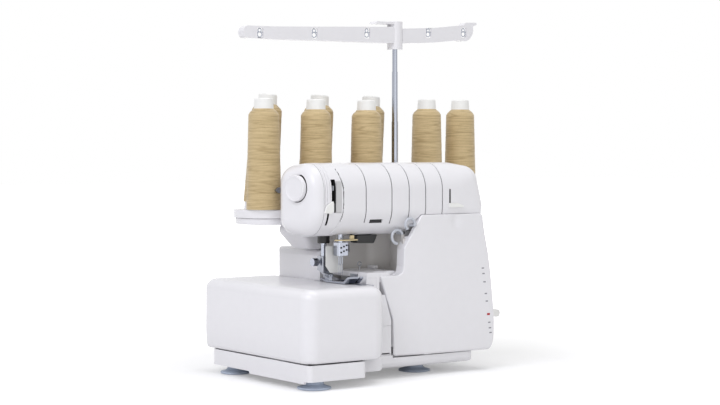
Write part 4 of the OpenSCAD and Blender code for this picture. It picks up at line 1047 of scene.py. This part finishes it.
KEPT = {
    "base_pan": (WHITE_ABS, 1.2), "feet": (FOOT_RUBBER, 0), "machine_frame": (CAST, 0.6),
    "rear_cover": (WHITE_ABS, 0.5), "side_cover": (WHITE_ABS, 0.5), "neck_cover": (WHITE_ABS, 0),
    # The throat panel's pale grey is painted shade.
    "throat_panel": (PAINTED_SHADE_GREY_ABS, 0.6), "looper_panel": (SATIN_ABS, 0.5), "front_panel": (WHITE_ABS, 0.5),
    "needle_plate": (STEEL, 0.3), "knife_deck": (WHITE_ABS, 0.8), "cover_hinge": (STEEL, 0.3),
    "spool_tray": (WHITE_ABS, 1.6), "tray_bracket": (WHITE_ABS, 1.2), "spool_pins": (SATIN_ABS, 0.3),
    "cone_cores": (CORE_PLASTIC, 0.2),
    "pole_lower": (CHROME, 0.15), "pole_middle": (CHROME, 0.15), "pole_upper": (CHROME, 0.15),
    "guide_bar": (WHITE_ABS, 0.7), "guide_eyelets": (CHROME, 0),
    "presser_bar": (CHROME, 0.3), "presser_bush": (BLACK_NYLON, 0.4), "foot_holder": (STEEL, 0.4),
    "thumb_screw": (CHROME, 0.4), "presser_foot": (CHROME, 0.25), "foot_pin": (STEEL, 0.2),
    "presser_lifter": (CHROME, 0.5), "needle_bar": (CHROME, 0.3), "needle_clamp": (CHROME, 0.4),
    "needle_screws": (BLACK_NYLON, 0.1), "needles": (STEEL, 0),
    "thread_hooks": (HOOK_PLASTIC, 0),
    "wire_guide": (STEEL, 0), "pressure_knob": (WHITE_ABS, 0.3), "takeup_lever": (STEEL, 0.2),
    "takeup_plate": (PLATE_ABS, 0.3), "threader_lever": (CORE_PLASTIC, 0.5), "mode_lever": (CORE_PLASTIC, 0.5),
    "main_shaft": (STEEL, 0.4), "handwheel": (WHITE_ABS, 0.4), "drive_belt": (BELT_RUBBER, 0.2),
    "motor": (ENAMEL, 0.5), "motor_pulley": (STEEL, 0.3), "upper_looper": (STEEL, 0.3),
    "lower_looper": (STEEL, 0.3), "upper_knife": (STEEL, 0.2), "feed_dogs": (STEEL, 0.1),
    "length_dial": (SATIN_ABS, 0.5), "feed_lever": (CORE_PLASTIC, 0.5), "power_switch": (BLACK_NYLON, 0.5),
    "power_inlet": (BLACK_NYLON, 0.5),
}
for node, (material, edge) in KEPT.items():
    dress(node, material, edge)
print(len(KEPT), "CAD parts dressed")

# %% [markdown]
# The machine stands on a white table in a white room. The room is light of itself, so the shadows are soft.
# A large lamp high on the left gives the covers their form, one overhead lights the tray and the bed, and a
# weak low one in front keeps the fronts open. Camera and mirror rays see a pure white background, while the
# floor keeps the machine's shadow and fades into that white further out.

# %% Floor, room and lamps
def seen_rays(tree):
    """1 for rays from the camera, a mirror or a clear part, and 0 for light between surfaces."""
    path = add(tree, "ShaderNodeLightPath").outputs
    seen = add(tree, "ShaderNodeMath", {0: path["Is Camera Ray"], 1: path["Is Glossy Ray"]},
               operation="MAXIMUM")
    return add(tree, "ShaderNodeMath", {0: seen.outputs[0], 1: path["Is Transmission Ray"]},
               operation="MAXIMUM").outputs[0]


FLOOR, FLOOR_GRAIN_MM = 12.0, 3
FADE_FROM, FADE_TO, GLOW_NEAR, GLOW_FAR = 0.3, 1.3, 0.24, 0.9
ROOM_LIGHT, ROOM_SEEN = 0.58, 1.0
floor_material = bpy.data.materials.new("table_matt_white")
floor_material.use_nodes = True
tree = floor_material.node_tree
tree.nodes.remove(tree.nodes["Principled BSDF"])
grain = add(tree, "ShaderNodeTexNoise", {"Scale": 1 / (FLOOR_GRAIN_MM * MM)})
tone = add(tree, "ShaderNodeMix", {0: grain.outputs["Fac"], 6: linear("#EAEAEA"), 7: linear("#E6E6E7")},
           data_type="RGBA")
matt = add(tree, "ShaderNodeBsdfDiffuse", {"Color": tone.outputs[2]})
where = add(tree, "ShaderNodeTexCoord")
away = add(tree, "ShaderNodeVectorMath", {0: where.outputs["Object"]}, operation="LENGTH")
fade = add(tree, "ShaderNodeMapRange", {"Value": away.outputs["Value"], "From Min": FADE_FROM,
                                        "From Max": FADE_TO, "To Min": GLOW_NEAR, "To Max": GLOW_FAR})
glow_seen = add(tree, "ShaderNodeMath", {0: seen_rays(tree), 1: fade.outputs["Result"]}, operation="MULTIPLY")
glow = add(tree, "ShaderNodeEmission", {"Strength": glow_seen.outputs[0]})
both = add(tree, "ShaderNodeAddShader", {0: matt.outputs[0], 1: glow.outputs[0]})
tree.links.new(both.outputs[0], tree.nodes["Material Output"].inputs["Surface"])

floor_mesh = bpy.data.meshes.new("floor")
floor_mesh.from_pydata([(-FLOOR, -FLOOR, 0), (FLOOR, -FLOOR, 0), (FLOOR, FLOOR, 0), (-FLOOR, FLOOR, 0)], [],
                       [(0, 1, 2, 3)])
floor_mesh.materials.append(floor_material)
floor = new_object("floor", floor_mesh)

world = bpy.data.worlds.new("room")
bpy.context.scene.world = world
world.use_nodes = True
light = world.node_tree
ambient = add(light, "ShaderNodeMix", {0: seen_rays(light), 2: ROOM_LIGHT, 3: ROOM_SEEN}, data_type="FLOAT")
feed(light, light.nodes["Background"], {"Strength": ambient.outputs[0], "Color": linear("#FFFFFF")})


LAMP_AIM = Vector((0, 0, 0.2))


def lamp(name, place, size, watts, hex_colour):
    """A square softbox lamp that looks at the machine."""
    data = bpy.data.lights.new(name, "AREA")
    data.shape, data.size, data.energy = "SQUARE", size, watts
    data.color = linear(hex_colour)[:3]
    made = new_object(name, data)
    made.location = place
    made.rotation_euler = (LAMP_AIM - Vector(place)).to_track_quat("-Z", "Y").to_euler()


lamp("softbox_left", (-2.4, -1.0, 2.2), 1.6, 34, "#F4F5FF")
lamp("softbox_top", (0.2, -0.4, 3.0), 1.8, 22, "#FFFFFF")
lamp("softbox_low", (-1.0, -2.6, 0.5), 2.2, 11, "#FFFFFF")
bpy.context.scene.view_settings.view_transform = "Standard"
